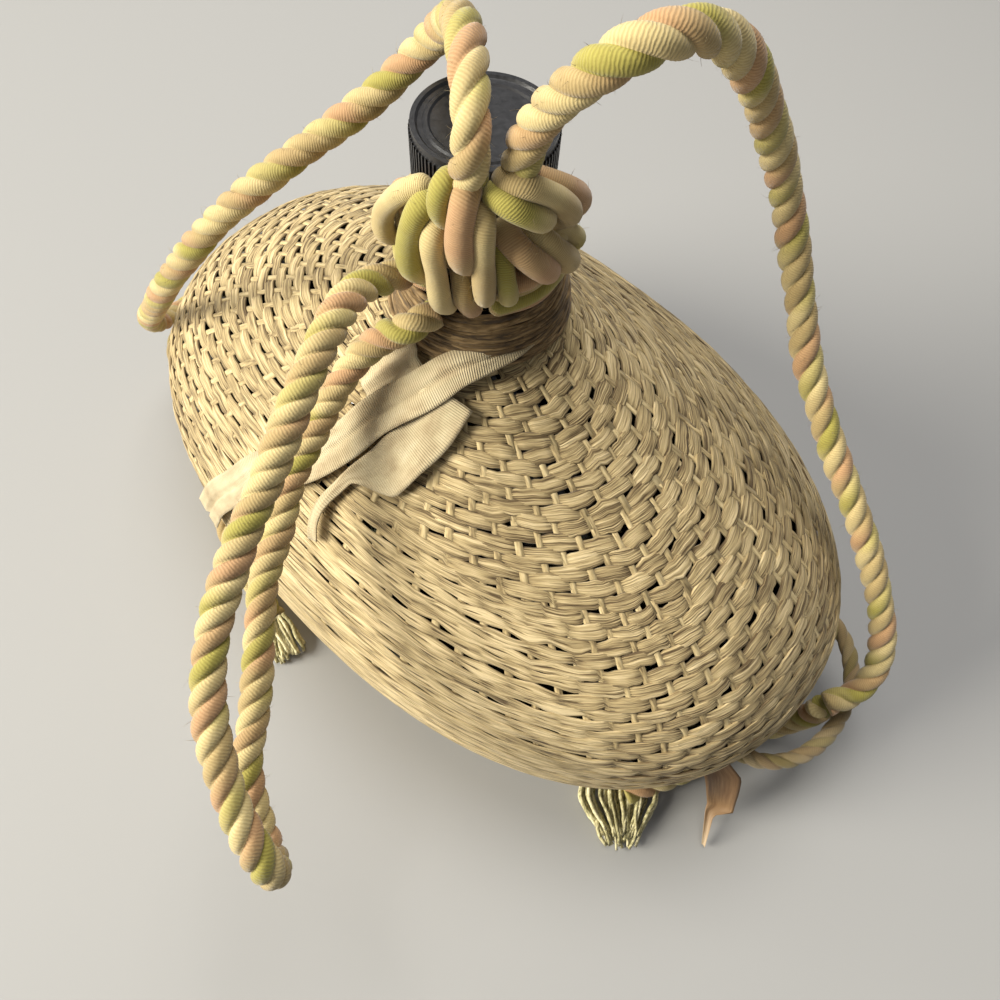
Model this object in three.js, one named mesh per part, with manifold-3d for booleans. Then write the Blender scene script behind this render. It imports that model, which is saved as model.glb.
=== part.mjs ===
// A wicker-covered glass spirits bottle with a rope handle, in millimetres, standing on Z = 0.
// +X runs along the long axis to the right lug, -Y is the front broad side, +Z is up.
import * as THREE from "three";
import { mergeVertices } from "three/addons/utils/BufferGeometryUtils.js";
import Module from "manifold-3d";

const wasm = await Module();
wasm.setup();

// The wicker skin, measured on the middle of its stakes
const BODY_LENGTH = 239;
const BODY_WIDTH = 153;
const GIRTH_Z = 52;
const FOOT_Z = 5;
const FOOT_INSET_LONG = 18;
const FOOT_INSET_WIDE = 12;
const SHOULDER_TOP_Z = 119;
const SHOULDER_TOP_DIAMETER = 41;
// The neck stands a little to the left of the middle of the body
const NECK_X = -3.6;
// Plan outline at the girth is a superellipse of this power, and rounds off where it gets narrow
const OUTLINE_POWER = 2.2;
const ROUNDING_SPREAD = 0.67;
// 1 makes the shoulder a round dome, and more draws it in towards the neck
const LONG_SHOULDER_POWER = 2.4;
const WIDE_SHOULDER_POWER = 2.9;

// The weave
const STAKE_COUNT = 20;
const STAKE_WIDTH = 4.2;
const STAKE_THICKNESS = 1;
const HOOP_THICKNESS = 1.2;
const COURSE_COUNT = 16;
const COURSE_THICKNESS = 1.5;
const COURSE_GAP = 1.6;
const WEAVE_CLEARANCE = 0.6;
// Fractions of the way up the skin from the foot to the neck
const LOWEST_COURSE = 0.105;
const HIGHEST_COURSE = 0.925;
const FOOT_HOOP_TOP = 0.028;
const NECK_HOOP_FOOT = 0.968;
const STAKE_FOOT = 0.022;
const STAKE_HEAD = 0.984;
// Rows where long pieces follow the skin, closer together where the foot curls under
const SKIN_ROWS = [0, 0.02, 0.05, 0.1, 0.17, 0.22, 0.26, 0.3, 0.34, 0.4, 0.5, 0.62, 0.74, 0.82, 0.89, 0.94, 1];

// The glass
const GLASS_WALL = 3.5;
const GLASS_CLEARANCE = 0.6;
const GLASS_INSIDE_ROWS = [0.9, 0.78, 0.66, 0.53, 0.4, 0.28, 0.18, 0.11];
const NECK_DIAMETER = 26;
const NECK_FILLET_DROP = 3;
const NECK_FILLET_WIDTH = 6;
const NECK_FILLET_HEIGHT = 8.5;
const FINISH_DIAMETER = 24.6;
const FINISH_Z = 152;
const BORE_DIAMETER = 18.6;
const BORE_FLARE_DIAMETER = 24.6;
const BORE_FLARE_DROP = 5;
const BORE_FLARE_RISE = 1;
const FINISH_HEIGHT = 14;
const LIP_ROUND = 1;

// The screw cap and its liner
const CAP_DIAMETER = 30;
const CAP_FOOT_GAP = 1;
const CAP_TOP_THICKNESS = 1.9;
const CAP_WALL = 2.1;
const CAP_RIB_COUNT = 30;
const CAP_RIB_DEPTH = 0.5;
const CAP_RIM_HEIGHT = 1.2;
const CAP_RIM_WIDTH = 2.6;
const LINER_THICKNESS = 1.5;
const LINER_DIAMETER = 25;
const CAP_CLEARANCE = 0.3;

// The base mat and the wrapped collar
const MAT_CLEARANCE = 0.6;
const MAT_CHAMFER = 1.5;
const COLLAR_DIAMETER = 43;
const COLLAR_BORE = 31.2;
const COLLAR_HEIGHT = 12.2;
const COLLAR_ROUND = 2.2;

// The rope, its knot and its lugs
const ROPE_DIAMETER = 7.5;
const ROPE_GAP = 0.4;
const ROPE_SIDES = 8;
const NECK_STEP = 7.5;
const ROPE_STEP = 11;
const LUG_STEP = 6;
const NECK_TURN_RADIUS = 17.4;
const LUG_CORD_DIAMETER = 5;
const LUG_Z = 27;
const HANDLE_REACH = 7.7;
const HANDLE_FOOT_Y = 14;
const HANDLE_FOOT_Z = 37;

// The ribbon and the leaf tab
const RIBBON_WIDTH = 11;
const RIBBON_THICKNESS = 0.6;
const RIBBON_LIFT = 3.3;
const RIBBON_LAYER = 1.2;
const TAB_THICKNESS = 1;

// Colours
const GLASS_GREEN = 0x9fb8a8;
const CAP_BLACK = 0x17181a;
const LINER_WHITE = 0xe8e6df;
const STRAW = 0xb59a6c;
const STRAW_DARK = 0x8d734a;
const ROPE_STRAW = 0xb8aa78;
const LUG_OLIVE = 0x857448;
const RIBBON_BEIGE = 0xbfa985;
const LEAF_BROWN = 0x7a5536;

// Small step to find the slope of the skin
const NUDGE = 0.002;
const RIB_STEP = 2;
const DIRECTIONS = 2 * STAKE_COUNT;
const HALF_LENGTH = BODY_LENGTH / 2;
const HALF_WIDTH = BODY_WIDTH / 2;
const TOP_RADIUS = SHOULDER_TOP_DIAMETER / 2;
const COURSE_LIFT = STAKE_THICKNESS / 2 + WEAVE_CLEARANCE + COURSE_THICKNESS / 2;
const SKIN_HALF = COURSE_LIFT + COURSE_THICKNESS / 2;
const ROPE_RADIUS = ROPE_DIAMETER / 2;
const LIP_Z = FINISH_Z + FINISH_HEIGHT;
const COLLAR_FOOT_Z = SHOULDER_TOP_Z + HOOP_THICKNESS / 2 + ROPE_GAP;
const COLLAR_TOP_Z = COLLAR_FOOT_Z + COLLAR_HEIGHT;
const LOWER_TURN_Z = COLLAR_TOP_Z + ROPE_GAP + ROPE_RADIUS;
const UPPER_TURN_Z = LOWER_TURN_Z + ROPE_DIAMETER + ROPE_GAP;

const model = new THREE.Group();
model.name = "wicker_bottle";

function add(name, geometry, color, roughness, metalness = 0) {
  const material = new THREE.MeshStandardMaterial({ color, roughness, metalness });
  const mesh = new THREE.Mesh(geometry, material);
  mesh.name = name;
  model.add(mesh);
}

function at(x, y, z) {
  return new THREE.Vector3(x, y, z);
}

function radians(degrees) {
  return THREE.MathUtils.degToRad(degrees);
}

// Turn every face outward
function outward(geometry) {
  const place = geometry.attributes.position;
  const index = geometry.index.array;
  const corner = (i) => at(place.getX(i), place.getY(i), place.getZ(i));
  let volume = 0;
  for (let i = 0; i < index.length; i += 3) {
    const side = corner(index[i + 1]).cross(corner(index[i + 2]));
    volume += corner(index[i]).dot(side);
  }
  if (volume < 0) {
    for (let i = 0; i < index.length; i += 3) {
      [index[i + 1], index[i + 2]] = [index[i + 2], index[i + 1]];
    }
  }
  return geometry;
}

// A closed solid through a row of rings with equal point counts, capped, or joined end to end
function loft(rings, endless = false) {
  const count = rings[0].length;
  const points = rings.flat();
  const faces = [];
  const spans = endless ? rings.length : rings.length - 1;
  for (let i = 0; i < spans; i++) {
    const low = i * count;
    const high = ((i + 1) % rings.length) * count;
    for (let j = 0; j < count; j++) {
      const k = (j + 1) % count;
      faces.push(low + j, low + k, high + k, low + j, high + k, high + j);
    }
  }
  if (!endless) {
    const last = (rings.length - 1) * count;
    const caps = [rings[0], rings[rings.length - 1]];
    for (const ring of caps) {
      const middle = at(0, 0, 0);
      ring.forEach((p) => middle.addScaledVector(p, 1 / count));
      points.push(middle);
    }
    const foot = points.length - 2;
    const head = points.length - 1;
    for (let j = 0; j < count; j++) {
      const k = (j + 1) % count;
      faces.push(foot, k, j, head, last + j, last + k);
    }
  }
  const geometry = new THREE.BufferGeometry().setFromPoints(points);
  geometry.setIndex(faces);
  return outward(geometry);
}

function toManifold(geometry) {
  const bare = geometry.clone();
  bare.deleteAttribute("normal");
  bare.deleteAttribute("uv");
  const joined = mergeVertices(bare);
  const mesh = new wasm.Mesh({
    numProp: 3,
    vertProperties: new Float32Array(joined.attributes.position.array),
    triVerts: new Uint32Array(joined.index.array),
  });
  return new wasm.Manifold(mesh);
}

function union(geometries) {
  const solid = geometries.map(toManifold).reduce((whole, piece) => whole.add(piece));
  const mesh = solid.getMesh();
  const geometry = new THREE.BufferGeometry();
  geometry.setAttribute("position", new THREE.BufferAttribute(mesh.vertProperties, 3));
  geometry.setIndex(new THREE.BufferAttribute(mesh.triVerts, 1));
  return geometry;
}

// A round cord along a smooth line through the given points, in straight steps of about one length
function cord(points, diameter, stepLength) {
  const section = new THREE.Shape();
  for (let i = 0; i < ROPE_SIDES; i++) {
    const turn = (2 * Math.PI * i) / ROPE_SIDES;
    const x = (diameter / 2) * Math.cos(turn);
    const y = (diameter / 2) * Math.sin(turn);
    if (i === 0) section.moveTo(x, y);
    else section.lineTo(x, y);
  }
  const extrudePath = new THREE.CatmullRomCurve3(points.map((p) => at(...p)));
  const steps = Math.round(extrudePath.getLength() / stepLength);
  return new THREE.ExtrudeGeometry(section, { steps, extrudePath, bevelEnabled: false });
}

// A rope that hangs from round ends, so it can swing about the line between them
function swingingRope(points) {
  const ball = (p) => new THREE.SphereGeometry(ROPE_RADIUS, ROPE_SIDES, ROPE_SIDES / 2).translate(...p);
  return union([cord(points, ROPE_DIAMETER, ROPE_STEP), ball(points[0]), ball(points[points.length - 1])]);
}

// Half length, half width and height of the skin on the way from the foot to the neck
function skinProfile() {
  const points = [];
  const quarterSteps = 12;
  for (let i = 0; i <= quarterSteps; i++) {
    const angle = (Math.PI / 2) * (1 - i / quarterSteps);
    const inset = 1 - Math.cos(angle);
    const z = GIRTH_Z - (GIRTH_Z - FOOT_Z) * Math.sin(angle);
    points.push(at(HALF_LENGTH - FOOT_INSET_LONG * inset, HALF_WIDTH - FOOT_INSET_WIDE * inset, z));
  }
  const shoulderSteps = 24;
  for (let i = 1; i <= shoulderSteps; i++) {
    const angle = (Math.PI / 2) * (i / shoulderSteps);
    const spread = Math.max(0, Math.cos(angle));
    const long = TOP_RADIUS + (HALF_LENGTH - TOP_RADIUS) * spread ** LONG_SHOULDER_POWER;
    const wide = TOP_RADIUS + (HALF_WIDTH - TOP_RADIUS) * spread ** WIDE_SHOULDER_POWER;
    const rise = (SHOULDER_TOP_Z - GIRTH_Z) * Math.sin(angle);
    points.push(at(long, wide, GIRTH_Z + rise));
  }
  return new THREE.CatmullRomCurve3(points);
}

const profile = skinProfile();
const PROFILE_LENGTH = profile.getLength();

function signedPower(value, power) {
  return Math.sign(value) * Math.abs(value) ** power;
}

function outlinePoint(long, wide, z, turn) {
  const spread = (long - TOP_RADIUS) / (HALF_LENGTH - TOP_RADIUS);
  const power = 2 + (OUTLINE_POWER - 2) * THREE.MathUtils.clamp(spread / ROUNDING_SPREAD, 0, 1);
  const x = NECK_X * (1 - spread) + long * signedPower(Math.cos(turn), 2 / power);
  const y = wide * signedPower(Math.sin(turn), 2 / power);
  return at(x, y, z);
}

function skinMiddle(way, turn) {
  const p = profile.getPointAt(THREE.MathUtils.clamp(way, 0, 1));
  return outlinePoint(p.x, p.y, p.z, turn);
}

// A point of the skin with its outward normal, moved out by the lift
function skin(way, turn, lift) {
  const along = skinMiddle(way + NUDGE, turn).sub(skinMiddle(way - NUDGE, turn));
  const around = skinMiddle(way, turn + NUDGE).sub(skinMiddle(way, turn - NUDGE));
  const normal = around.cross(along).normalize();
  return { point: skinMiddle(way, turn).addScaledVector(normal, lift), normal };
}

function direction(i) {
  return (2 * Math.PI * (i + 0.5)) / DIRECTIONS;
}

function everyDirection(make) {
  return Array.from({ length: DIRECTIONS }, (_, i) => make(direction(i), i));
}

function skinRing(way, lift) {
  return everyDirection((turn) => skin(way, turn, lift).point);
}

function neckRing(radius, z) {
  return everyDirection((turn) => at(NECK_X + radius * Math.cos(turn), radius * Math.sin(turn), z));
}

// A point round the neck: distance from its axis, degrees from +X, height
function aroundNeck(radius, degrees, z) {
  return [NECK_X + radius * Math.cos(radians(degrees)), radius * Math.sin(radians(degrees)), z];
}

// A point near the right or the left lug, by how far it lies beyond that end of the body
function rightEnd(beyond, y, z) {
  return [HALF_LENGTH + beyond, y, z];
}

function leftEnd(beyond, y, z) {
  return [-HALF_LENGTH - beyond, y, z];
}

// Hollow glass bottle
const glassOut = -(SKIN_HALF + GLASS_CLEARANCE);
const glassIn = glassOut - GLASS_WALL;
const neckRadius = NECK_DIAMETER / 2;
const finishRadius = FINISH_DIAMETER / 2;
const boreRadius = BORE_DIAMETER / 2;

// The inside floor stops short of the curl of the foot, where the wall turns under
function glassFloor() {
  const floorZ = FOOT_Z - glassIn;
  const long = HALF_LENGTH - FOOT_INSET_LONG;
  const wide = HALF_WIDTH - FOOT_INSET_WIDE;
  return everyDirection((turn) => outlinePoint(long, wide, floorZ, turn));
}

// Rings of the hollow curve from the shoulder into the neck
function neckFillet() {
  return [0, 45, 90].map((degrees) => {
    const aside = NECK_FILLET_WIDTH * (1 - Math.sin(radians(degrees)));
    const rise = NECK_FILLET_HEIGHT * (1 - Math.cos(radians(degrees)));
    return neckRing(neckRadius + aside, SHOULDER_TOP_Z - NECK_FILLET_DROP + rise);
  });
}

const glassRings = [
  ...SKIN_ROWS.slice(0, -1).map((way) => skinRing(way, glassOut)),
  ...neckFillet(),
  neckRing(neckRadius, FINISH_Z),
  neckRing(finishRadius, FINISH_Z),
  neckRing(finishRadius, LIP_Z - LIP_ROUND),
  neckRing(finishRadius - LIP_ROUND, LIP_Z),
  neckRing(boreRadius, LIP_Z),
  neckRing(boreRadius, SHOULDER_TOP_Z + BORE_FLARE_RISE),
  neckRing(BORE_FLARE_DIAMETER / 2, SHOULDER_TOP_Z - BORE_FLARE_DROP),
  ...GLASS_INSIDE_ROWS.map((way) => skinRing(way, glassIn)),
  glassFloor(),
];
add("glass_bottle", loft(glassRings), GLASS_GREEN, 0.1);

// Ribbed screw cap, hollow from below, and its liner
const capRadius = CAP_DIAMETER / 2;
const capInside = capRadius - CAP_WALL;
const capFoot = FINISH_Z + CAP_FOOT_GAP;
const linerFoot = LIP_Z + CAP_CLEARANCE;
const capCeiling = linerFoot + LINER_THICKNESS + CAP_CLEARANCE;
const capTop = capCeiling + CAP_TOP_THICKNESS;

function capRing(radius, z, ribbed = false) {
  return Array.from({ length: RIB_STEP * CAP_RIB_COUNT }, (_, i) => {
    const turn = (2 * Math.PI * i) / (RIB_STEP * CAP_RIB_COUNT);
    const reach = radius - (ribbed && i % RIB_STEP ? CAP_RIB_DEPTH : 0);
    return at(NECK_X + reach * Math.cos(turn), reach * Math.sin(turn), z);
  });
}

const capRings = [
  capRing(capInside, capCeiling),
  capRing(capInside, capFoot),
  capRing(capRadius, capFoot, true),
  capRing(capRadius, capTop - CAP_RIM_HEIGHT, true),
  capRing(capRadius - CAP_RIB_DEPTH, capTop),
  capRing(capRadius - CAP_RIM_WIDTH, capTop),
  capRing(capRadius - CAP_RIM_WIDTH - CAP_RIB_DEPTH, capTop - CAP_RIB_DEPTH),
];
add("cap_shell", loft(capRings), CAP_BLACK, 0.35);
const linerRadius = LINER_DIAMETER / 2;
const linerRings = [neckRing(linerRadius, linerFoot), neckRing(linerRadius, linerFoot + LINER_THICKNESS)];
add("cap_liner", loft(linerRings), LINER_WHITE, 0.6);

// Base mat that carries the bottle
const matLength = HALF_LENGTH - FOOT_INSET_LONG - MAT_CLEARANCE;
const matWidth = HALF_WIDTH - FOOT_INSET_WIDE - MAT_CLEARANCE;
const matTop = FOOT_Z - glassOut - MAT_CLEARANCE;

function matRing(inset, z) {
  return everyDirection((turn) => outlinePoint(matLength - inset, matWidth - inset, z, turn));
}

const matRings = [matRing(MAT_CHAMFER, 0), matRing(0, MAT_CHAMFER), matRing(0, matTop)];
add("base_mat", loft(matRings), STRAW_DARK, 0.9);

// Upright stakes held by a hoop at the foot and one at the neck
function stake(i) {
  const turn = (2 * Math.PI * i) / STAKE_COUNT;
  const between = SKIN_ROWS.filter((way) => way > FOOT_HOOP_TOP && way < NECK_HOOP_FOOT);
  const rings = [STAKE_FOOT, ...between, STAKE_HEAD].map((way) => {
    const { point, normal } = skin(way, turn, 0);
    const aside = skinMiddle(way, turn + NUDGE).sub(skinMiddle(way, turn - NUDGE));
    aside.addScaledVector(normal, -aside.dot(normal)).normalize();
    const corner = (side, out) => point.clone()
      .addScaledVector(aside, (side * STAKE_WIDTH) / 2)
      .addScaledVector(normal, (out * STAKE_THICKNESS) / 2);
    return [corner(-1, -1), corner(1, -1), corner(1, 1), corner(-1, 1)];
  });
  return loft(rings);
}

// A flat band round the skin between two ways up
function hoop(from, to) {
  const half = HOOP_THICKNESS / 2;
  const rings = everyDirection((turn) => [
    skin(from, turn, -half).point,
    skin(to, turn, -half).point,
    skin(to, turn, half).point,
    skin(from, turn, half).point,
  ]);
  return loft(rings, true);
}

const stakes = Array.from({ length: STAKE_COUNT }, (_, i) => stake(i));
const hoops = [hoop(0, FOOT_HOOP_TOP), hoop(NECK_HOOP_FOOT, 1)];
add("stake_frame", union([...hoops, ...stakes]), STRAW_DARK, 0.85);

// Courses woven in front of one stake and behind the next, each the other way from the last
function course(row) {
  const pitch = (HIGHEST_COURSE - LOWEST_COURSE) / (COURSE_COUNT - 1);
  const middle = LOWEST_COURSE + pitch * row;
  const half = (pitch - COURSE_GAP / PROFILE_LENGTH) / 2;
  const rings = everyDirection((turn, i) => {
    const nearestStake = Math.floor((i + 1) / 2);
    const lift = (nearestStake + row) % 2 ? COURSE_LIFT : -COURSE_LIFT;
    const inner = lift - COURSE_THICKNESS / 2;
    const outer = lift + COURSE_THICKNESS / 2;
    return [
      skin(middle - half, turn, inner).point,
      skin(middle + half, turn, inner).point,
      skin(middle + half, turn, outer).point,
      skin(middle - half, turn, outer).point,
    ];
  });
  return loft(rings, true);
}

for (let row = 0; row < COURSE_COUNT; row++) {
  add(`weft_course_${String(row + 1).padStart(2, "0")}`, course(row), STRAW, 0.8);
}

// Fibre-wrapped collar round the foot of the neck
const collarRadius = COLLAR_DIAMETER / 2;
const collarBore = COLLAR_BORE / 2;
const collarRings = [
  neckRing(collarBore, COLLAR_FOOT_Z),
  neckRing(collarRadius - COLLAR_ROUND, COLLAR_FOOT_Z),
  neckRing(collarRadius, COLLAR_FOOT_Z + COLLAR_ROUND),
  neckRing(collarRadius, COLLAR_TOP_Z - 2 * COLLAR_ROUND),
  neckRing(collarRadius - COLLAR_ROUND, COLLAR_TOP_Z),
  neckRing(collarBore, COLLAR_TOP_Z),
];
add("neck_collar", loft(collarRings, true), STRAW_DARK, 0.9);

// Two turns of rope round the neck, the upper one coming down from the right handle
const rightHandleTop = aroundNeck(20.4, -28, 174);
const leftHandleTop = aroundNeck(20.6, -55, 173);
const upperTurn = [
  aroundNeck(20.4, -28, 169.3),
  aroundNeck(20.4, -24, 162),
  aroundNeck(20.2, -14, 154.5),
  aroundNeck(19.4, 2, 149.5),
  aroundNeck(18, 25, 146),
  ...[50, 79, 108, 137, 166, 195, 224, 253, 282].map(
    (degrees) => aroundNeck(NECK_TURN_RADIUS, degrees, UPPER_TURN_Z),
  ),
];
const lowerTurn = [-40, -8, 24, 56, 88, 120, 152, 184, 216, 242].map(
  (degrees) => aroundNeck(NECK_TURN_RADIUS, degrees, LOWER_TURN_Z),
);
const middleTurn = [
  aroundNeck(20.1, -56, 168.3),
  aroundNeck(21.5, -57, 161),
  aroundNeck(23.8, -55, 154),
  aroundNeck(26, -49, 147),
  aroundNeck(25.6, -41, 140),
  aroundNeck(25.3, -34, 135.6),
];
const leftTurn = [
  aroundNeck(20.3, -99, 163.5),
  aroundNeck(22.3, -96, 157.5),
  aroundNeck(24.4, -88, 151),
  aroundNeck(25.3, -77, 144),
  aroundNeck(25.3, -67, 136.5),
];
add("neck_turn_upper", cord(upperTurn, ROPE_DIAMETER, NECK_STEP), ROPE_STRAW, 0.9);
add("neck_turn_lower", cord(lowerTurn, ROPE_DIAMETER, NECK_STEP), ROPE_STRAW, 0.9);
add("knot_turn_middle", cord(middleTurn, ROPE_DIAMETER, NECK_STEP), ROPE_STRAW, 0.9);
add("knot_turn_left", cord(leftTurn, ROPE_DIAMETER, NECK_STEP), ROPE_STRAW, 0.9);

// Handle ropes from the knot down to the lugs
const rightHandle = [
  rightHandleTop,
  [15.6, -9.9, 180.5], [18.4, -10.2, 187], [22.2, -10.3, 193.2], [26.4, -9.8, 198.7], [30.3, -7.8, 203.2],
  [33.4, -4.2, 205.6], [35.8, 0.8, 205.9], [37.3, 6.8, 203.6], [38.2, 13.4, 198.6], [39, 20.6, 191],
  [40.2, 28.8, 180.2], [42.6, 37, 167], [46.6, 42.6, 153.5], [52, 44.8, 141], [58.5, 44.7, 129.7],
  [66, 43.2, 118.5], [75, 41.5, 109], [85, 40, 99], [95.5, 38.4, 90], [106.5, 37, 79],
  rightEnd(-2.3, 34.8, 67.4), rightEnd(6.5, 32.2, 55.5), rightEnd(11.3, 28, 46.4), rightEnd(11.7, 21.6, 40),
  rightEnd(HANDLE_REACH, HANDLE_FOOT_Y, HANDLE_FOOT_Z),
];
const leftHandle = [
  leftHandleTop,
  [9.4, -17.7, 178], [9.3, -17.3, 182.8], [7.2, -15.3, 186.6], [3.2, -11.7, 189.2], [-2.2, -7, 189.9],
  [-8.2, -2.2, 188.2], [-14, 2.1, 184.7], [-19.2, 5.4, 180], [-23.9, 7.5, 175.2], [-28.3, 7.6, 170.2],
  [-32.6, 5.3, 164.5], [-36.6, 0.7, 158.5], [-40.8, -6.9, 153], [-46.1, -15.8, 146.8], [-52, -25.5, 139.5],
  [-59.6, -34.4, 129.5], [-68.6, -42, 116], [-80, -47, 99.4], [-95, -48, 79],
  leftEnd(-8.5, -46, 59), leftEnd(0.5, -40.5, 46.5), leftEnd(6.5, -29, 38.5),
  leftEnd(HANDLE_REACH, -HANDLE_FOOT_Y, HANDLE_FOOT_Z),
];
add("right_handle_rope", swingingRope(rightHandle), ROPE_STRAW, 0.9);
add("left_handle_rope", swingingRope(leftHandle), ROPE_STRAW, 0.9);

// Loose loop of rope that reaches out of the knot over the front
const hangingLoop = [
  [-6.6, -25.4, 142.6], [-6.8, -31.5, 145], [-4.4, -39.8, 147.4], [-0.4, -49, 147], [2.9, -58, 143.3],
  [5.7, -66.4, 137.8], [8.4, -74.3, 132.6], [11, -82.6, 128], [14.3, -90.7, 123.4], [18.3, -98.8, 118.7],
  [23.5, -106, 113.8], [30, -112, 109.2], [37.3, -116.4, 104.6], [44.6, -119.8, 100], [50.8, -121.8, 95.4],
  [55, -122.8, 89.6], [55.4, -122.8, 83], [51.8, -122, 77.6], [45.4, -120.2, 76], [38.8, -117.2, 78.8],
  [32.7, -112.4, 82.8], [27.8, -105.8, 86.3], [21.7, -98.7, 90], [14.3, -91, 93.8], [7.1, -83, 97.3],
  [1.9, -73.4, 101], [-3.6, -64.2, 105.5], [-7.1, -54, 110], [-9.6, -44, 115], [-9.4, -35, 121],
  [-6, -29, 126.5], [-1.5, -25.6, 130.5],
];
add("hanging_loop_rope", swingingRope(hangingLoop), ROPE_STRAW, 0.9);

// Wrapped cord lugs low on both ends; the left one is the right one turned half round
const lugLine = [
  [-2.5, -20.6], [3, -18.5], [9.5, -10], [13.5, 3], [14.5, 16],
  [11.5, 29], [4, 39], [-5, 43.5], [-12.7, 40.5],
];
const rightLug = lugLine.map(([beyond, y]) => rightEnd(beyond, y, LUG_Z));
const leftLug = lugLine.map(([beyond, y]) => leftEnd(beyond, -y, LUG_Z));
add("lug_right", cord(rightLug, LUG_CORD_DIAMETER, LUG_STEP), LUG_OLIVE, 0.9);
add("lug_left", cord(leftLug, LUG_CORD_DIAMETER, LUG_STEP), LUG_OLIVE, 0.9);

// Rope tails from the lugs down to the table and along the foot, ending in frayed tassels
const tailTop = HANDLE_FOOT_Z - ROPE_RADIUS - ROPE_GAP;
const tailZ = ROPE_RADIUS + ROPE_GAP;
const rightTail = [
  rightEnd(HANDLE_REACH, HANDLE_FOOT_Y, tailTop),
  rightEnd(HANDLE_REACH, HANDLE_FOOT_Y, LUG_Z),
  rightEnd(6.8, 13.5, 18.5), rightEnd(3.5, 10, 9.5), rightEnd(-2.5, 2, 5), rightEnd(-6, -8, tailZ),
  rightEnd(-9, -19.5, tailZ), rightEnd(-14.5, -31, tailZ), rightEnd(-18.5, -39.5, tailZ),
];
const leftTail = [
  leftEnd(HANDLE_REACH, -HANDLE_FOOT_Y, tailTop),
  leftEnd(HANDLE_REACH, -HANDLE_FOOT_Y, LUG_Z),
  leftEnd(7.5, -15, 18), leftEnd(5.5, -19, 9.5), leftEnd(0, -27, 5), leftEnd(-10.5, -38.5, tailZ), [-96, -49, tailZ],
  [-80, -60.5, tailZ], [-62, -69, tailZ], [-42, -75, tailZ], [-24, -78, tailZ],
];
add("rope_tail_right", cord(rightTail, ROPE_DIAMETER, ROPE_STEP), ROPE_STRAW, 0.9);
add("rope_tail_left", cord(leftTail, ROPE_DIAMETER, ROPE_STEP), ROPE_STRAW, 0.9);

// A flat spreading tuft: middle line on the table with half width and half thickness at each point
function tassel(stations) {
  const sides = 10;
  const rings = stations.map(([x, y, wide, thick], i) => {
    const before = stations[Math.max(0, i - 1)];
    const after = stations[Math.min(stations.length - 1, i + 1)];
    const aside = at(before[1] - after[1], after[0] - before[0], 0).normalize();
    return Array.from({ length: sides }, (_, j) => {
      const turn = (2 * Math.PI * j) / sides;
      const p = at(x, y, thick + ROPE_GAP).addScaledVector(aside, wide * Math.cos(turn));
      p.z += thick * Math.sin(turn);
      return p;
    });
  });
  return loft(rings);
}

const rightTassel = [
  [HALF_LENGTH - 18.9, -40.8, 3.5, 3.6],
  [HALF_LENGTH - 19.3, -44, 6.5, 3.2],
  [HALF_LENGTH - 17, -47.5, 9, 2.8],
  [HALF_LENGTH - 12.5, -50.5, 8, 2.2],
  [HALF_LENGTH - 8, -52.5, 4, 1.3],
];
const leftTassel = [[-23, -78.3, 3.6, 3.8], [-19, -79.5, 4.6, 3.2], [-14, -81.5, 5.6, 2.6], [-8, -83.5, 5, 1.2]];
add("tassel_right", tassel(rightTassel), ROPE_STRAW, 0.95);
add("tassel_left", tassel(leftTassel), ROPE_STRAW, 0.95);

// Ribbon strips laid on the skin: way up, degrees round and lift of the middle line
function strip(stations, width) {
  const places = stations.map(([way, degrees, lift]) => skin(way, radians(degrees), lift));
  const rings = places.map(({ point, normal }, i) => {
    const before = places[Math.max(0, i - 1)].point;
    const after = places[Math.min(places.length - 1, i + 1)].point;
    const aside = after.clone().sub(before).cross(normal).normalize();
    const corner = (side, out) => point.clone()
      .addScaledVector(aside, (side * width) / 2)
      .addScaledVector(normal, (out * RIBBON_THICKNESS) / 2);
    return [corner(-1, -1), corner(1, -1), corner(1, 1), corner(-1, 1)];
  });
  return loft(rings);
}

const secondLayer = RIBBON_LIFT + RIBBON_LAYER;
const longTail = [
  [0.965, -22, secondLayer], [0.965, -40, secondLayer], [0.955, -56, secondLayer], [0.925, -70, secondLayer],
  [0.88, -81, secondLayer], [0.8, -89, secondLayer], [0.7, -93, secondLayer], [0.63, -95.3, secondLayer],
  [0.565, -98.4, RIBBON_LIFT], [0.5, -102, RIBBON_LIFT], [0.43, -104.3, RIBBON_LIFT], [0.36, -106.2, RIBBON_LIFT],
  [0.3, -108, RIBBON_LIFT],
];
const shortTail = [
  [0.88, -71, RIBBON_LIFT], [0.8, -78, RIBBON_LIFT], [0.72, -82, RIBBON_LIFT],
  [0.64, -85, RIBBON_LIFT], [0.57, -86.5, RIBBON_LIFT], [0.51, -87, RIBBON_LIFT],
];
const fold = [
  [0.97, -84, RIBBON_LIFT], [0.93, -91, RIBBON_LIFT], [0.88, -95.5, RIBBON_LIFT], [0.82, -98, RIBBON_LIFT],
];
add("ribbon_long_tail", strip(longTail, RIBBON_WIDTH), RIBBON_BEIGE, 0.85);
add("ribbon_short_tail", strip(shortTail, RIBBON_WIDTH), RIBBON_BEIGE, 0.85);
add("ribbon_fold", strip(fold, RIBBON_WIDTH), RIBBON_BEIGE, 0.85);

// Dry leaf tab hanging from the near root of the right lug to the table
const tabNear = at(...rightEnd(-1, -25, 24));
const tabFar = at(...rightEnd(4.5, -12, 24));
const tabTip = at(...rightEnd(8.5, -31, 1.5));
const tabNormal = tabFar.clone().sub(tabNear).cross(tabTip.clone().sub(tabNear)).normalize();
const tabFace = (out) => [tabNear, tabFar, tabTip].map(
  (p) => p.clone().addScaledVector(tabNormal, (out * TAB_THICKNESS) / 2),
);
add("leaf_tab", loft([tabFace(-1), tabFace(1)]), LEAF_BROWN, 0.8);

export default model;
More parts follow.
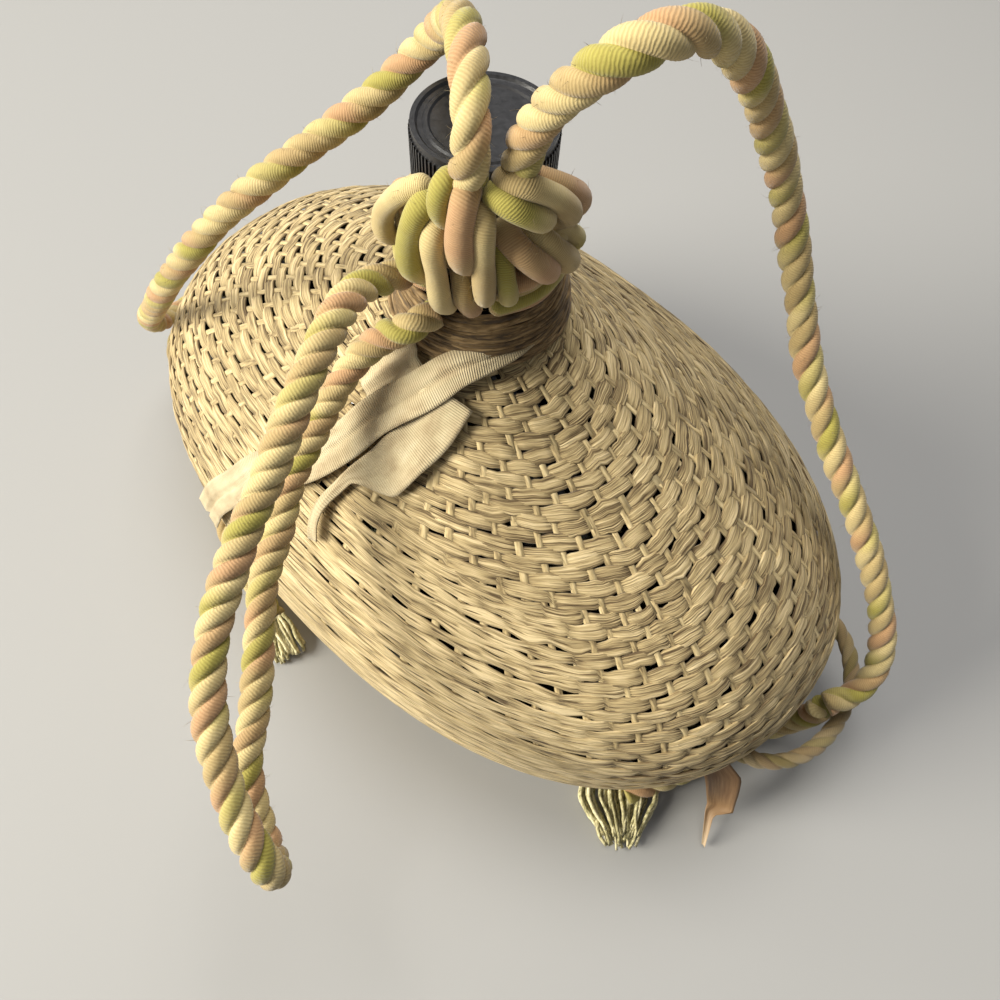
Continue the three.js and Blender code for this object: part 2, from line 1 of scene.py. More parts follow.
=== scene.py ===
"""Looks of a wicker-covered bottle with a rope handle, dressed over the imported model.

Sizes are written in millimetres and turned to metres when a mesh is made.
+X runs to the right lug, -Y is the front, +Z is up.
"""
import math

import bpy
import numpy as np
from mathutils import Matrix, Vector


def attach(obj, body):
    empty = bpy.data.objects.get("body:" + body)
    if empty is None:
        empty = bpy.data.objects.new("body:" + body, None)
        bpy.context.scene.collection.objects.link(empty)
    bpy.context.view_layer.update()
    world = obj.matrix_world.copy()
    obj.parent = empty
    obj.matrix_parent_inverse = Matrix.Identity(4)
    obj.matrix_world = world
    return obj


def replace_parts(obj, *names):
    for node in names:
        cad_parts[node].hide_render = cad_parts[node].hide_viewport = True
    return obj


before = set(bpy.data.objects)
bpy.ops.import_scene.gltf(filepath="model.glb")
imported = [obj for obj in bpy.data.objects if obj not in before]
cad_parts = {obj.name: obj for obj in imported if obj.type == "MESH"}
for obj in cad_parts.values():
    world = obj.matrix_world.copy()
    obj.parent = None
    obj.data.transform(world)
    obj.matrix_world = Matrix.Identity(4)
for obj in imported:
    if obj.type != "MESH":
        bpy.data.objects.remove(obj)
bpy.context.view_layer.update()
chance = np.random.default_rng(11)
MM = 0.001

# The camera of the photograph
CAMERA_PLACE = Vector((95.7, -106.2, 280)) * MM
CAMERA_RIGHT = Vector((0.7242, 0.6886, 0.0375))
CAMERA_DOWN = Vector((0.6186, -0.6246, -0.4767))
CAMERA_AHEAD = Vector((-0.3048, 0.3684, -0.8783))
CAMERA_LENS = 30.22

# The wicker skin, as in the part's source
HALF_LENGTH = 119.5
HALF_WIDTH = 76.5
GIRTH_Z = 52
FOOT_Z = 5
FOOT_INSET_LONG = 18
FOOT_INSET_WIDE = 12
SHOULDER_TOP_Z = 119
TOP_RADIUS = 20.5
NECK_X = -3.6
OUTLINE_POWER = 2.2
ROUNDING_SPREAD = 0.67
LONG_SHOULDER_POWER = 2.4
WIDE_SHOULDER_POWER = 2.9
# Step, in ways and in radians, over which a slope of the skin is measured
SKIN_STEP = 0.004

# The fine weave
ROW_COUNT = 48
LOWEST_ROW = 0.008
ROW_KNEE = 0.44
HIGHEST_ROW = 0.999
STEPS_PER_STAKE = 6
FIBRES_PER_STRAND = 6
STRAND_THICKNESS = 0.32
STRAND_RIDGE = 0.14
STRAND_BACK = -0.3
STRAND_BACK_HALF = 0.7
FLOAT_LIFT = 0.3
TIGHT_LIFT = 0.27
DUCK_DEPTH = 0.68
FRAYS_PER_STAKE = 3
EDGE_FRAY = 0.09
SPLIT_DEPTH = 0.35
# Distance from its stake, in stake spacings, at which a strand ducks
DUCK_REACH = 0.3
# Shares of the spacing of the rows: half width of a strand, what it loses, its slope and its waves
FLOAT_HALF = 0.6
TIGHT_HALF = 0.5
LOOSE_LOSS = 0.11
DUCK_LOSS = 0.1
SLIT_SWELL = 0.1
FLOAT_SLOPE = 0.44
ROW_WAVE = 0.1
ROW_STRAY = 0.07
# Random change from stake to stake: in half width, in half width where tight, in lift and in tone
GRIP_HALF = 0.03
TIGHT_GRIP_HALF = 0.02
GRIP_LIFT = 0.08
GRIP_TONE = 0.08
# What a tight strand loses: of its float and duck, its random lift, its frayed edges and the painted shade
# along its edges
TIGHT_FLAT = 0.93
TIGHT_EVEN = 0.7
TIGHT_TRIM = 0.75
TIGHT_PALE = 0.6
# How loose the right end is beside the left, and the ways up between which it loosens
RIGHT_LOOSE = 0.3
RIGHT_LOOSE_WAYS = (0.66, 0.5)
# Tone of a strand: 0 is dark, 1 is pale
STRAND_TONE = 0.5
FIBRE_TONE_SPREAD = 0.15
# Painted light: the tight weave low on the front is made paler for the light that falls there
TIGHT_PAINTED_LIGHT = 0.22
# Painted shade: a strand is darker where it ducks behind its stake
DUCK_SHADE = 0.2
# Painted shade: the outer fibres of each strand are darker, as shade along its edges
EDGE_SHADE = 0.25
STAKE_THICKNESS = 0.4
# Half width of a stake as a share of the spacing, and its limits
STAKE_HALF = 0.17
STAKE_HALF_LIMITS = (0.5, 1.2)
STAKE_SIZES = (0.85, 1.1)
STAKE_TONES = (0.35, 0.75)
ZONE_OVERLAP = 0.01
# Where the tight weave starts and is full: ways up the skin, and degrees round it on both sides
TIGHT_WAYS = (0.66, 0.54)
TIGHT_RIGHT = (-33, -50)
TIGHT_LEFT = (-122, -102)
# Way up the skin where each zone ends, and the number of stakes in it
WEAVE_ZONES = [(0.6, 84), (0.74, 64), (0.86, 50), (1.0, 40)]
COURSE_COUNT = 16
BAND_COUNT = 8

# The rope
ROPE_DIAMETER = 7.5
ROPE_LAY = 17.5
LOOP_LAY = 14.5
ROPE_STEP = 0.9
STRAND_DEPTH = 2.0
STRAND_BREADTH = 2.45
STRAND_OFFSET = 1.75
STRAND_SIDES = 12
ROPE_SWELL = 0.035
SWELLS_PER_MM = 0.21
# Millimetres of dyed pattern that a rope skips for each radian of its first turn
DYE_SHIFT = 60
WHISKERS_PER_MM = 0.8
WHISKER_FLOOR = 0.15
WHISKER_REACH = (0.6, 2.0)
WHISKER_LEAN = 1.2
WHISKER_RADIUS = 0.06
TAIL_Z = 4.15
LUG_DIAMETER = 5
LUG_LAY = 15
LUG_Z = 27


# Lines and surfaces

def unit(vectors):
    """The same directions, each with a length of one."""
    return vectors / np.linalg.norm(vectors, axis=-1, keepdims=True)


def lengths_along(points):
    """Length along a line of points, from its start to each of them."""
    return np.concatenate([[0], np.cumsum(np.linalg.norm(np.diff(points, axis=0), axis=1))])


def fade(value, start, full):
    """0 before the start, 1 past the full value, with a soft change between."""
    share = np.clip((value - start) / (full - start), 0, 1)
    return share * share * (3 - 2 * share)


def smooth_line(points, step):
    """Evenly spaced points on a smooth curve through the given ones, and the length along it."""
    p = np.asarray(points, float)
    ends = np.vstack([2 * p[0] - p[1], p, 2 * p[-1] - p[-2]])
    knots = np.concatenate([[0], np.cumsum(np.linalg.norm(np.diff(ends, axis=0), axis=1) ** 0.5)])
    fine = []
    steps_per_span = 24
    for i in range(1, len(ends) - 2):
        t = np.linspace(knots[i], knots[i + 1], steps_per_span, endpoint=False)[:, None]
        k0, k1, k2, k3 = knots[i - 1:i + 3]
        p0, p1, p2, p3 = ends[i - 1:i + 3]
        a1 = p0 * (k1 - t) / (k1 - k0) + p1 * (t - k0) / (k1 - k0)
        a2 = p1 * (k2 - t) / (k2 - k1) + p2 * (t - k1) / (k2 - k1)
        a3 = p2 * (k3 - t) / (k3 - k2) + p3 * (t - k2) / (k3 - k2)
        b1 = a1 * (k2 - t) / (k2 - k0) + a2 * (t - k0) / (k2 - k0)
        b2 = a2 * (k3 - t) / (k3 - k1) + a3 * (t - k1) / (k3 - k1)
        fine.append(b1 * (k2 - t) / (k2 - k1) + b2 * (t - k1) / (k2 - k1))
    fine = np.vstack([*fine, p[-1:]])
    return evenly(fine, step)


def evenly(fine, step):
    """Points at even steps along a finely drawn line, and the length along it."""
    along = lengths_along(fine)
    count = max(3, round(along[-1] / step) + 1)
    at = np.linspace(0, along[-1], count)
    line = np.stack([np.interp(at, along, fine[:, k]) for k in range(3)], axis=1)
    return line, at


def directions(line):
    return unit(np.gradient(line, axis=0))


def carried_frames(line):
    """Two cross directions at each point of a line, carried along without twist."""
    ahead = directions(line)
    aside = np.zeros_like(line)
    leaning_up = (0.3, 0.2, 1)
    aside[0] = unit(np.cross(ahead[0], leaning_up))
    for i in range(1, len(line)):
        aside[i] = unit(aside[i - 1] - ahead[i] * aside[i - 1].dot(ahead[i]))
    return aside, np.cross(ahead, aside)


def rings_round(line, reach, turn):
    """Rings of points round a line, at a reach from it and at turns about it."""
    aside, upright = carried_frames(line)
    out = aside[:, None, :] * np.cos(turn)[..., None] + upright[:, None, :] * np.sin(turn)[..., None]
    return line[:, None, :] + out * reach[..., None]


def thickened(sheet, normal, thickness):
    """Rings of points round a sheet, over its front and back along its underside."""
    under = sheet[:, ::-1] - normal[:, None, :] * thickness
    return np.concatenate([sheet, under], axis=1)


def over_and_back(width, columns):
    """Map places across a thickened sheet."""
    over = np.linspace(0, width, columns)
    return np.concatenate([over, over[::-1], [0]])


def skin_profile():
    """Half length, half width and height of the skin at even ways from the foot to the neck."""
    low = np.linspace(math.pi / 2, 0, 200)
    inset = 1 - np.cos(low)
    foot = [HALF_LENGTH - FOOT_INSET_LONG * inset, HALF_WIDTH - FOOT_INSET_WIDE * inset,
            GIRTH_Z - (GIRTH_Z - FOOT_Z) * np.sin(low)]
    high = np.linspace(0, math.pi / 2, 400)[1:]
    spread = np.maximum(np.cos(high), 0)
    shoulder = [TOP_RADIUS + (HALF_LENGTH - TOP_RADIUS) * spread ** LONG_SHOULDER_POWER,
                TOP_RADIUS + (HALF_WIDTH - TOP_RADIUS) * spread ** WIDE_SHOULDER_POWER,
                GIRTH_Z + (SHOULDER_TOP_Z - GIRTH_Z) * np.sin(high)]
    rows = np.hstack([foot, shoulder]).T
    along = lengths_along(rows)
    return along / along[-1], rows


PROFILE_WAYS, PROFILE_ROWS = skin_profile()


def signed_power(value, power):
    return np.sign(value) * np.abs(value) ** power


def skin_middle(way, turn):
    """Points of the skin at a way up, from 0 at the foot to 1 at the neck, and a turn round it."""
    way = np.clip(way, 0, 1)
    long, wide, z = (np.interp(way, PROFILE_WAYS, PROFILE_ROWS[:, k]) for k in range(3))
    spread = (long - TOP_RADIUS) / (HALF_LENGTH - TOP_RADIUS)
    power = 2 + (OUTLINE_POWER - 2) * np.clip(spread / ROUNDING_SPREAD, 0, 1)
    x = NECK_X * (1 - spread) + long * signed_power(np.cos(turn), 2 / power)
    y = wide * signed_power(np.sin(turn), 2 / power)
    return np.stack(np.broadcast_arrays(x, y, z), axis=-1)


def skin(way, turn, lift):
    """Points of the skin moved out by the lift, their normals, and millimetres of skin in a whole way."""
    low = np.clip(np.asarray(way, float) - SKIN_STEP, 0, 1)
    high = np.clip(np.asarray(way, float) + SKIN_STEP, 0, 1)
    up = (skin_middle(high, turn) - skin_middle(low, turn)) / (high - low)[..., None]
    round_about = skin_middle(way, turn + SKIN_STEP) - skin_middle(way, turn - SKIN_STEP)
    normal = unit(np.cross(round_about, up))
    point = skin_middle(way, turn) + normal * np.asarray(lift)[..., None]
    return point, normal, np.linalg.norm(up, axis=-1)


def around_neck(radius, degrees, z):
    turn = math.radians(degrees)
    return (NECK_X + radius * math.cos(turn), radius * math.sin(turn), z)


def right_end(beyond, y, z):
    return (HALF_LENGTH + beyond, y, z)


def left_end(beyond, y, z):
    return (-HALF_LENGTH - beyond, y, z)


class Shape:
    """Points, faces, map places and tones gathered for one mesh."""

    def __init__(self):
        self.points, self.corners, self.counts, self.maps, self.tones = [], [], [], [], []
        self.size = 0

    def tube(self, rings, along, around, tone=None, endless=False):
        """Quads between rings of points, with flat ends unless it is endless."""
        count, sides = rings.shape[:2]
        i = np.arange(count if endless else count - 1)[:, None]
        j = np.arange(sides)[None, :]
        following, beside = (i + 1) % count, (j + 1) % sides
        quads = np.stack([i * sides + j, i * sides + beside,
                          following * sides + beside, following * sides + j], axis=-1)
        u = np.stack([along[i], along[i], along[i + 1], along[i + 1]], axis=-1)
        v = np.stack([around[j], around[j + 1], around[j + 1], around[j]], axis=-1)
        self.corners.append(quads.ravel() + self.size)
        self.counts.append(np.full(quads.shape[0] * quads.shape[1], 4))
        self.maps.append(np.stack(np.broadcast_arrays(u, v), axis=-1).reshape(-1, 2))
        if not endless:
            for ring, order in ((0, -1), (count - 1, 1)):
                self.corners.append((ring * sides + np.arange(sides))[::order] + self.size)
                self.counts.append([sides])
                self.maps.append(np.stack([np.full(sides, along[ring]), around[:-1][::order]], axis=1))
        self.points.append(rings.reshape(-1, 3))
        self.tones.append(np.zeros(count * sides) if tone is None else np.ravel(tone))
        self.size += count * sides

    def piece(self, name, material, body="bottle"):
        """The finished object, in metres, riding on its body."""
        mesh = bpy.data.meshes.new(name)
        corners = np.concatenate(self.corners).astype(np.int32)
        counts = np.concatenate(self.counts).astype(np.int32)
        mesh.vertices.add(self.size)
        mesh.vertices.foreach_set("co", (np.concatenate(self.points) * MM).astype(np.float32).ravel())
        mesh.loops.add(len(corners))
        mesh.loops.foreach_set("vertex_index", corners)
        mesh.polygons.add(len(counts))
        mesh.polygons.foreach_set("loop_start", np.cumsum(counts) - counts)
        mesh.update(calc_edges=True)
        places = mesh.uv_layers.new(name="UVMap")
        places.data.foreach_set("uv", np.concatenate(self.maps).astype(np.float32).ravel())
        tone = mesh.attributes.new("tone", "FLOAT", "POINT")
        tone.data.foreach_set("value", np.concatenate(self.tones).astype(np.float32))
        mesh.shade_smooth()
        mesh.materials.append(material)
        piece = bpy.data.objects.new(name, mesh)
        bpy.context.scene.collection.objects.link(piece)
        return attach(piece, body)


# Materials

def new_material(name, roughness):
    material = bpy.data.materials.new(name)
    material.use_nodes = True
    shader = material.node_tree.nodes["Principled BSDF"]
    shader.inputs["Roughness"].default_value = roughness
    return material, material.node_tree, shader


def add_node(tree, kind, settings=None, **inputs):
    node = tree.nodes.new(kind)
    for key, value in (settings or {}).items():
        setattr(node, key, value)
    for key, value in inputs.items():
        put(tree, node.inputs[key.replace("_", " ")], value)
    return node


def put(tree, socket, value):
    if isinstance(value, bpy.types.NodeSocket):
        tree.links.new(value, socket)
    else:
        socket.default_value = value


def math_node(tree, operation, *values):
    node = tree.nodes.new("ShaderNodeMath")
    node.operation = operation
    for socket, value in zip(node.inputs, values):
        put(tree, socket, value)
    return node.outputs[0]


def ramp(tree, factor, stops, interpolation="LINEAR"):
    node = tree.nodes.new("ShaderNodeValToRGB")
    node.color_ramp.interpolation = interpolation
    elements = node.color_ramp.elements
    while len(elements) < len(stops):
        elements.new(0.5)
    for element, (place, color) in zip(elements, stops):
        element.position = place
        element.color = (*color, 1)
    put(tree, node.inputs["Fac"], factor)
    return node.outputs["Color"]


def blend_colors(tree, factor, first, second, kind="MIX"):
    node = tree.nodes.new("ShaderNodeMix")
    node.data_type = "RGBA"
    node.blend_type = kind
    put(tree, node.inputs[0], factor)
    put(tree, node.inputs[6], first)
    put(tree, node.inputs[7], second)
    return node.outputs[2]


def bump(tree, shader, height, distance, strength=1.0):
    node = add_node(tree, "ShaderNodeBump", Height=height, Distance=distance, Strength=strength)
    tree.links.new(node.outputs["Normal"], shader.inputs["Normal"])


def map_places(tree):
    """Place along a piece and place across it, from its map."""
    place = add_node(tree, "ShaderNodeUVMap")
    parts = add_node(tree, "ShaderNodeSeparateXYZ", Vector=place.outputs["UV"])
    return parts.outputs["X"], parts.outputs["Y"]


def mesh_tone(tree):
    return add_node(tree, "ShaderNodeAttribute", {"attribute_name": "tone"}).outputs["Fac"]


def grain(tree, scale, detail):
    """Even noise that stays fixed to the piece."""
    place = add_node(tree, "ShaderNodeTexCoord").outputs["Object"]
    return add_node(tree, "ShaderNodeTexNoise", Vector=place, Scale=scale, Detail=detail).outputs["Fac"]


def make_fibre_group():
    """Fine fibres that run along the first map direction: a mask from 0 to 1."""
    group = bpy.data.node_groups.new("Fibres", "ShaderNodeTree")
    group.interface.new_socket("Per length", in_out="INPUT", socket_type="NodeSocketFloat")
    group.interface.new_socket("Per width", in_out="INPUT", socket_type="NodeSocketFloat")
    group.interface.new_socket("Mask", in_out="OUTPUT", socket_type="NodeSocketFloat")
    entry = group.nodes.new("NodeGroupInput")
    leave = group.nodes.new("NodeGroupOutput")
    length, width = map_places(group)
    along = math_node(group, "MULTIPLY", length, entry.outputs["Per length"])
    across = math_node(group, "MULTIPLY", width, entry.outputs["Per width"])
    stretched = add_node(group, "ShaderNodeCombineXYZ", X=along, Y=across)
    noise = add_node(group, "ShaderNodeTexNoise", Vector=stretched.outputs["Vector"],
                     Scale=1.0, Detail=3.0)
    group.links.new(noise.outputs["Fac"], leave.inputs["Mask"])
    return group


FIBRES = make_fibre_group()


def fibre_mask(tree, per_length, per_width):
    node = tree.nodes.new("ShaderNodeGroup")
    node.node_tree = FIBRES
    node.inputs["Per length"].default_value = per_length
    node.inputs["Per width"].default_value = per_width
    return node.outputs["Mask"]


# Change of tone from the darkest fine line of a dry fibre to the palest
FIBRE_CONTRAST = 2.2


def dry_fibre(name, dark, middle, pale, per_length, per_width, depth=0.00012, roughness=0.75):
    """Dry plant fibre: tone from the mesh, fine lines along the strand."""
    material, tree, shader = new_material(name, roughness)
    mask = fibre_mask(tree, per_length, per_width)
    shift = math_node(tree, "MULTIPLY_ADD", mask, FIBRE_CONTRAST, -FIBRE_CONTRAST / 2)
    level = math_node(tree, "ADD", mesh_tone(tree), shift)
    color = ramp(tree, level, [(0.0, dark), (0.5, middle), (1.0, pale)])
    tree.links.new(color, shader.inputs["Base Color"])
    shader.inputs["Sheen Weight"].default_value = 0.08
    bump(tree, shader, mask, depth)
    return material


DYE_PATCHES_PER_MM = 0.045
DYE_SHIFT_PER_STRAND = 13.7
YARNS_PER_MM = 2.5
YARNS_PER_STRAND = 6.2
YARN_WOBBLE = 1.8


def rope_material(name, strands, shifts, roughness=0.85):
    """Laid rope: one colour for each strand, dyed in patches along it, wound with fine yarn."""
    material, tree, shader = new_material(name, roughness)
    length, around = map_places(tree)
    strand = math_node(tree, "FLOOR", around)
    local = math_node(tree, "FRACT", around)
    place_in_ramp = math_node(tree, "MULTIPLY", math_node(tree, "ADD", strand, 0.5), 1 / 3)
    thirds = (0, 1 / 3, 2 / 3)
    own = ramp(tree, place_in_ramp, list(zip(thirds, strands)), "CONSTANT")
    other = ramp(tree, place_in_ramp, list(zip(thirds, shifts)), "CONSTANT")
    far = math_node(tree, "MULTIPLY", length, DYE_PATCHES_PER_MM)
    patch_place = math_node(tree, "MULTIPLY_ADD", strand, DYE_SHIFT_PER_STRAND, far)
    patches = add_node(tree, "ShaderNodeTexNoise", {"noise_dimensions": "1D"},
                       W=patch_place, Scale=1.0, Detail=1.0)
    patch = ramp(tree, patches.outputs["Fac"], [(0.42, (0, 0, 0)), (0.62, (1, 1, 1))])
    dyed = blend_colors(tree, patch, own, other)
    slant = math_node(tree, "MULTIPLY", local, YARNS_PER_STRAND)
    slant = math_node(tree, "MULTIPLY_ADD", length, YARNS_PER_MM, slant)
    wobble = fibre_mask(tree, 0.35, 1.6)
    turn = math_node(tree, "MULTIPLY_ADD", wobble, YARN_WOBBLE, slant)
    yarn = math_node(tree, "SINE", math_node(tree, "MULTIPLY", turn, 2 * math.pi))
    yarn = math_node(tree, "MULTIPLY_ADD", yarn, 0.5, 0.5)
    shade = math_node(tree, "MULTIPLY_ADD", yarn, 0.5, math_node(tree, "MULTIPLY", wobble, 0.6))
    darker = blend_colors(tree, 1.0, dyed, (0.66, 0.59, 0.5, 1), "MULTIPLY")
    color = blend_colors(tree, shade, darker, dyed)
    tree.links.new(color, shader.inputs["Base Color"])
    shader.inputs["Sheen Weight"].default_value = 0.25
    shader.inputs["Sheen Roughness"].default_value = 0.5
    height = math_node(tree, "MULTIPLY_ADD", grain(tree, 1500.0, 2.0), 0.9, yarn)
    bump(tree, shader, height, 0.00006)
    return material


def plain_with_grain(name, color, other, scale, roughness, depth):
    """A moulded or pressed surface with a slight speckle and grain."""
    material, tree, shader = new_material(name, roughness)
    noise = grain(tree, scale, 4.0)
    speckle = ramp(tree, noise, [(0.3, color), (0.7, other)])
    tree.links.new(speckle, shader.inputs["Base Color"])
    bump(tree, shader, noise, depth)
    return material


RIBS_PER_MM = 1.7


def ribbon_material():
    """Corded ribbon: fine ribs across it and faint stains."""
    material, tree, shader = new_material("Corded ribbon", 0.8)
    length, _ = map_places(tree)
    ribs = math_node(tree, "SINE", math_node(tree, "MULTIPLY", length, 2 * math.pi * RIBS_PER_MM))
    threads = fibre_mask(tree, 3.0, 6.0)
    stains = fibre_mask(tree, 0.12, 0.2)
    stops = [(0.3, (0.42, 0.32, 0.18)), (0.55, (0.62, 0.52, 0.32)), (0.75, (0.72, 0.63, 0.42))]
    stained = ramp(tree, stains, stops)
    amount = math_node(tree, "MULTIPLY", threads, 0.5)
    color = blend_colors(tree, amount, stained, (0.45, 0.36, 0.22, 1), "MULTIPLY")
    tree.links.new(color, shader.inputs["Base Color"])
    shader.inputs["Sheen Weight"].default_value = 0.2
    bump(tree, shader, math_node(tree, "ADD", ribs, threads), 0.00007)
    return material


def leaf_material():
    """Dry leaf: brown, paler towards the tip, with veins along it."""
    material, tree, shader = new_material("Dry leaf", 0.55)
    mask = fibre_mask(tree, 0.15, 1.2)
    level = math_node(tree, "MULTIPLY_ADD", mask, 0.5, math_node(tree, "MULTIPLY", mesh_tone(tree), 0.6))
    stops = [(0.15, (0.15, 0.075, 0.03)), (0.45, (0.28, 0.17, 0.08)), (0.85, (0.5, 0.38, 0.24))]
    tree.links.new(ramp(tree, level, stops), shader.inputs["Base Color"])
    bump(tree, shader, mask, 0.0002)
    return material


def glass_material():
    """Thick greenish glass with a slight ripple."""
    material, tree, shader = new_material("Bottle glass", 0.05)
    shader.inputs["Base Color"].default_value = (0.3, 0.33, 0.27, 1)
    shader.inputs["Transmission Weight"].default_value = 1.0
    shader.inputs["IOR"].default_value = 1.5
    bump(tree, shader, grain(tree, 60.0, 1.0), 0.0004, 0.3)
    return material


WEFT_STRAW = dry_fibre("Woven straw", (0.1, 0.06, 0.02), (0.45, 0.335, 0.155), (0.76, 0.6, 0.33),
                       0.12, 2.4, 0.0005)
STAKE_STRAW = dry_fibre("Stake straw", (0.15, 0.1, 0.04), (0.44, 0.33, 0.155), (0.64, 0.51, 0.27), 0.3, 1.5)
# Collar fibre: its own dark brown, made darker still as painted shade for the shade under the knot
COLLAR_FIBRE = dry_fibre("Collar fibre", (0.04, 0.022, 0.006), (0.15, 0.09, 0.03), (0.32, 0.21, 0.09),
                         0.25, 2.0)
MAT_STRAW = plain_with_grain("Base mat straw", (0.22, 0.15, 0.07), (0.46, 0.35, 0.2), 220.0, 0.85, 0.0006)
TASSEL_YARN = dry_fibre("Frayed yarn", (0.17, 0.15, 0.05), (0.48, 0.43, 0.22), (0.74, 0.67, 0.42), 0.8, 3.0)
CREAM = (0.6, 0.49, 0.23)
OLIVE = (0.36, 0.32, 0.06)
PEACH = (0.48, 0.29, 0.14)
FADED = (0.44, 0.33, 0.14)
ROPE_YARN = rope_material("Laid rope", (CREAM, OLIVE, PEACH), (FADED, CREAM, FADED))
LUG_YARN = rope_material("Lug cord", ((0.34, 0.26, 0.12), (0.28, 0.22, 0.08), (0.36, 0.26, 0.13)),
                         ((0.42, 0.33, 0.18), (0.32, 0.26, 0.11), (0.3, 0.22, 0.1)))
CAP_PLASTIC = plain_with_grain("Cap plastic", (0.012, 0.012, 0.013), (0.028, 0.028, 0.03),
                               900.0, 0.32, 0.00005)
LINER_PLASTIC = plain_with_grain("Liner", (0.75, 0.74, 0.7), (0.82, 0.81, 0.78), 300.0, 0.6, 0.00005)
RIBBON_CLOTH = ribbon_material()
LEAF = leaf_material()
GLASS = glass_material()


def dress(node, material):
    """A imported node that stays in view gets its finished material."""
    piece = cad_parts[node]
    piece.data.materials.clear()
    piece.data.materials.append(material)


dress("glass_bottle", GLASS)
dress("cap_liner", LINER_PLASTIC)
dress("base_mat", MAT_STRAW)

# The camera

camera_data = bpy.data.cameras.new("Camera")
camera_data.sensor_width = 36
camera_data.lens = CAMERA_LENS
camera_data.clip_start = 0.005
camera = bpy.data.objects.new("Camera", camera_data)
bpy.context.scene.collection.objects.link(camera)
axes = Matrix((CAMERA_RIGHT, -CAMERA_DOWN, -CAMERA_AHEAD)).transposed()
camera.matrix_world = Matrix.Translation(CAMERA_PLACE) @ axes.to_4x4()
bpy.context.scene.camera = camera


# The rope

def rope_rings(line, along, diameter, lay, start_turn=0.0):
    """Rings of a three-strand rope: three plump ovals that turn as they go."""
    local = np.linspace(-math.pi / 3, math.pi / 3, STRAND_SIDES, endpoint=False)
    steep = np.cos(local) ** 2 / STRAND_DEPTH ** 2 + np.sin(local) ** 2 / STRAND_BREADTH ** 2
    shift = STRAND_OFFSET * np.cos(local) / STRAND_DEPTH ** 2
    rest = (STRAND_OFFSET / STRAND_DEPTH) ** 2 - 1
    oval = (shift + np.sqrt(shift ** 2 - steep * rest)) / steep
    reach = np.tile(oval, 3) * (diameter / 2) / (STRAND_OFFSET + STRAND_DEPTH)
    angle = np.concatenate([local + k * 2 * math.pi / 3 for k in range(3)])
    turned = angle[None, :] + start_turn + 2 * math.pi * along[:, None] / lay
    swell = 1 + ROPE_SWELL * np.sin(along * SWELLS_PER_MM + start_turn)[:, None]
    return rings_round(line, reach[None, :] * swell, turned)


def add_whiskers(shape, line, along, radius, count):
    """Stray fibres that stand off a rope."""
    ahead = directions(line)
    aside, upright = carried_frames(line)
    share = np.linspace(0, 1, 5)[:, None]
    ring = np.linspace(0, 2 * math.pi, 3, endpoint=False)
    for _ in range(count):
        i = chance.integers(3, len(line) - 3)
        turn = chance.uniform(0, 2 * math.pi)
        out = aside[i] * math.cos(turn) + upright[i] * math.sin(turn)
        round_about = np.cross(ahead[i], out)
        lean = ahead[i] * chance.uniform(-WHISKER_LEAN, WHISKER_LEAN)
        lean = lean + round_about * chance.uniform(-WHISKER_LEAN, WHISKER_LEAN)
        reach = chance.uniform(*WHISKER_REACH)
        hair = line[i] + out * (radius * 0.8 + reach * share) + lean * reach * share ** 2
        hair[:, 2] = np.maximum(hair[:, 2], WHISKER_FLOOR)
        thick = WHISKER_RADIUS * (1.2 - share)
        rings = hair[:, None, :] + (thick * np.cos(ring))[..., None] * ahead[i]
        rings = rings + (thick * np.sin(ring))[..., None] * round_about
        shape.tube(rings[:, ::-1], along[i] + 2 * share[:, 0], np.linspace(0.2, 0.8, 4))


def laid_rope(name, points, material, body, diameter=ROPE_DIAMETER, lay=ROPE_LAY, start_turn=0.0):
    """A rope of three strands through the points, with stray fibres, and its middle line."""
    line, along = smooth_line(points, ROPE_STEP)
    shape = Shape()
    around = np.linspace(0, 3, 3 * STRAND_SIDES + 1)
    shape.tube(rope_rings(line, along, diameter, lay, start_turn), along + DYE_SHIFT * start_turn, around)
    add_whiskers(shape, line, along, diameter / 2, round(along[-1] * WHISKERS_PER_MM))
    return shape.piece(name, material, body), line


def free_rope(name, points, node, body, start_turn=0.0, strand_lay=ROPE_LAY):
    """A rope that hangs or lies free, in place of its plain part."""
    piece, line = laid_rope(name, points, ROPE_YARN, body, lay=strand_lay, start_turn=start_turn)
    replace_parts(piece, node)


RIGHT_HANDLE = [
    around_neck(20.4, -28, 174),
    (15.6, -9.9, 180.5), (18.4, -10.2, 187), (22.2, -10.3, 193.2), (26.4, -9.8, 198.7), (30.3, -7.8, 203.2),
    (33.4, -4.2, 205.6), (35.8, 0.8, 205.9), (37.3, 6.8, 203.6), (38.2, 13.4, 198.6), (39, 20.6, 191),
    (40.2, 28.8, 180.2), (42.6, 37, 167), (46.6, 42.6, 153.5), (52, 44.8, 141), (58.5, 44.7, 129.7),
    (66, 43.2, 118.5), (75, 41.5, 109), (85, 40, 99), (95.5, 38.4, 90), (106.5, 37, 79),
    right_end(-2.3, 34.8, 67.4), right_end(6.5, 32.2, 55.5), right_end(11.3, 28, 46.4),
    right_end(11.7, 21.6, 40), right_end(7.7, 14, 37),
]
LEFT_HANDLE = [
    around_neck(20.6, -55, 173),
    (9.4, -17.7, 178), (9.3, -17.3, 182.8), (7.2, -15.3, 186.6), (3.2, -11.7, 189.2), (-2.2, -7, 189.9),
    (-8.2, -2.2, 188.2), (-14, 2.1, 184.7), (-19.2, 5.4, 180), (-23.9, 7.5, 175.2), (-28.3, 7.6, 170.2),
    (-32.6, 5.3, 164.5), (-36.6, 0.7, 158.5), (-40.8, -6.9, 153), (-46.1, -15.8, 146.8),
    (-52, -25.5, 139.5), (-59.6, -34.4, 129.5), (-68.6, -42, 116), (-80, -47, 99.4), (-95, -48, 79),
    left_end(-8.5, -46, 59), left_end(0.5, -40.5, 46.5), left_end(6.5, -29, 38.5), left_end(7.7, -14, 37),
]
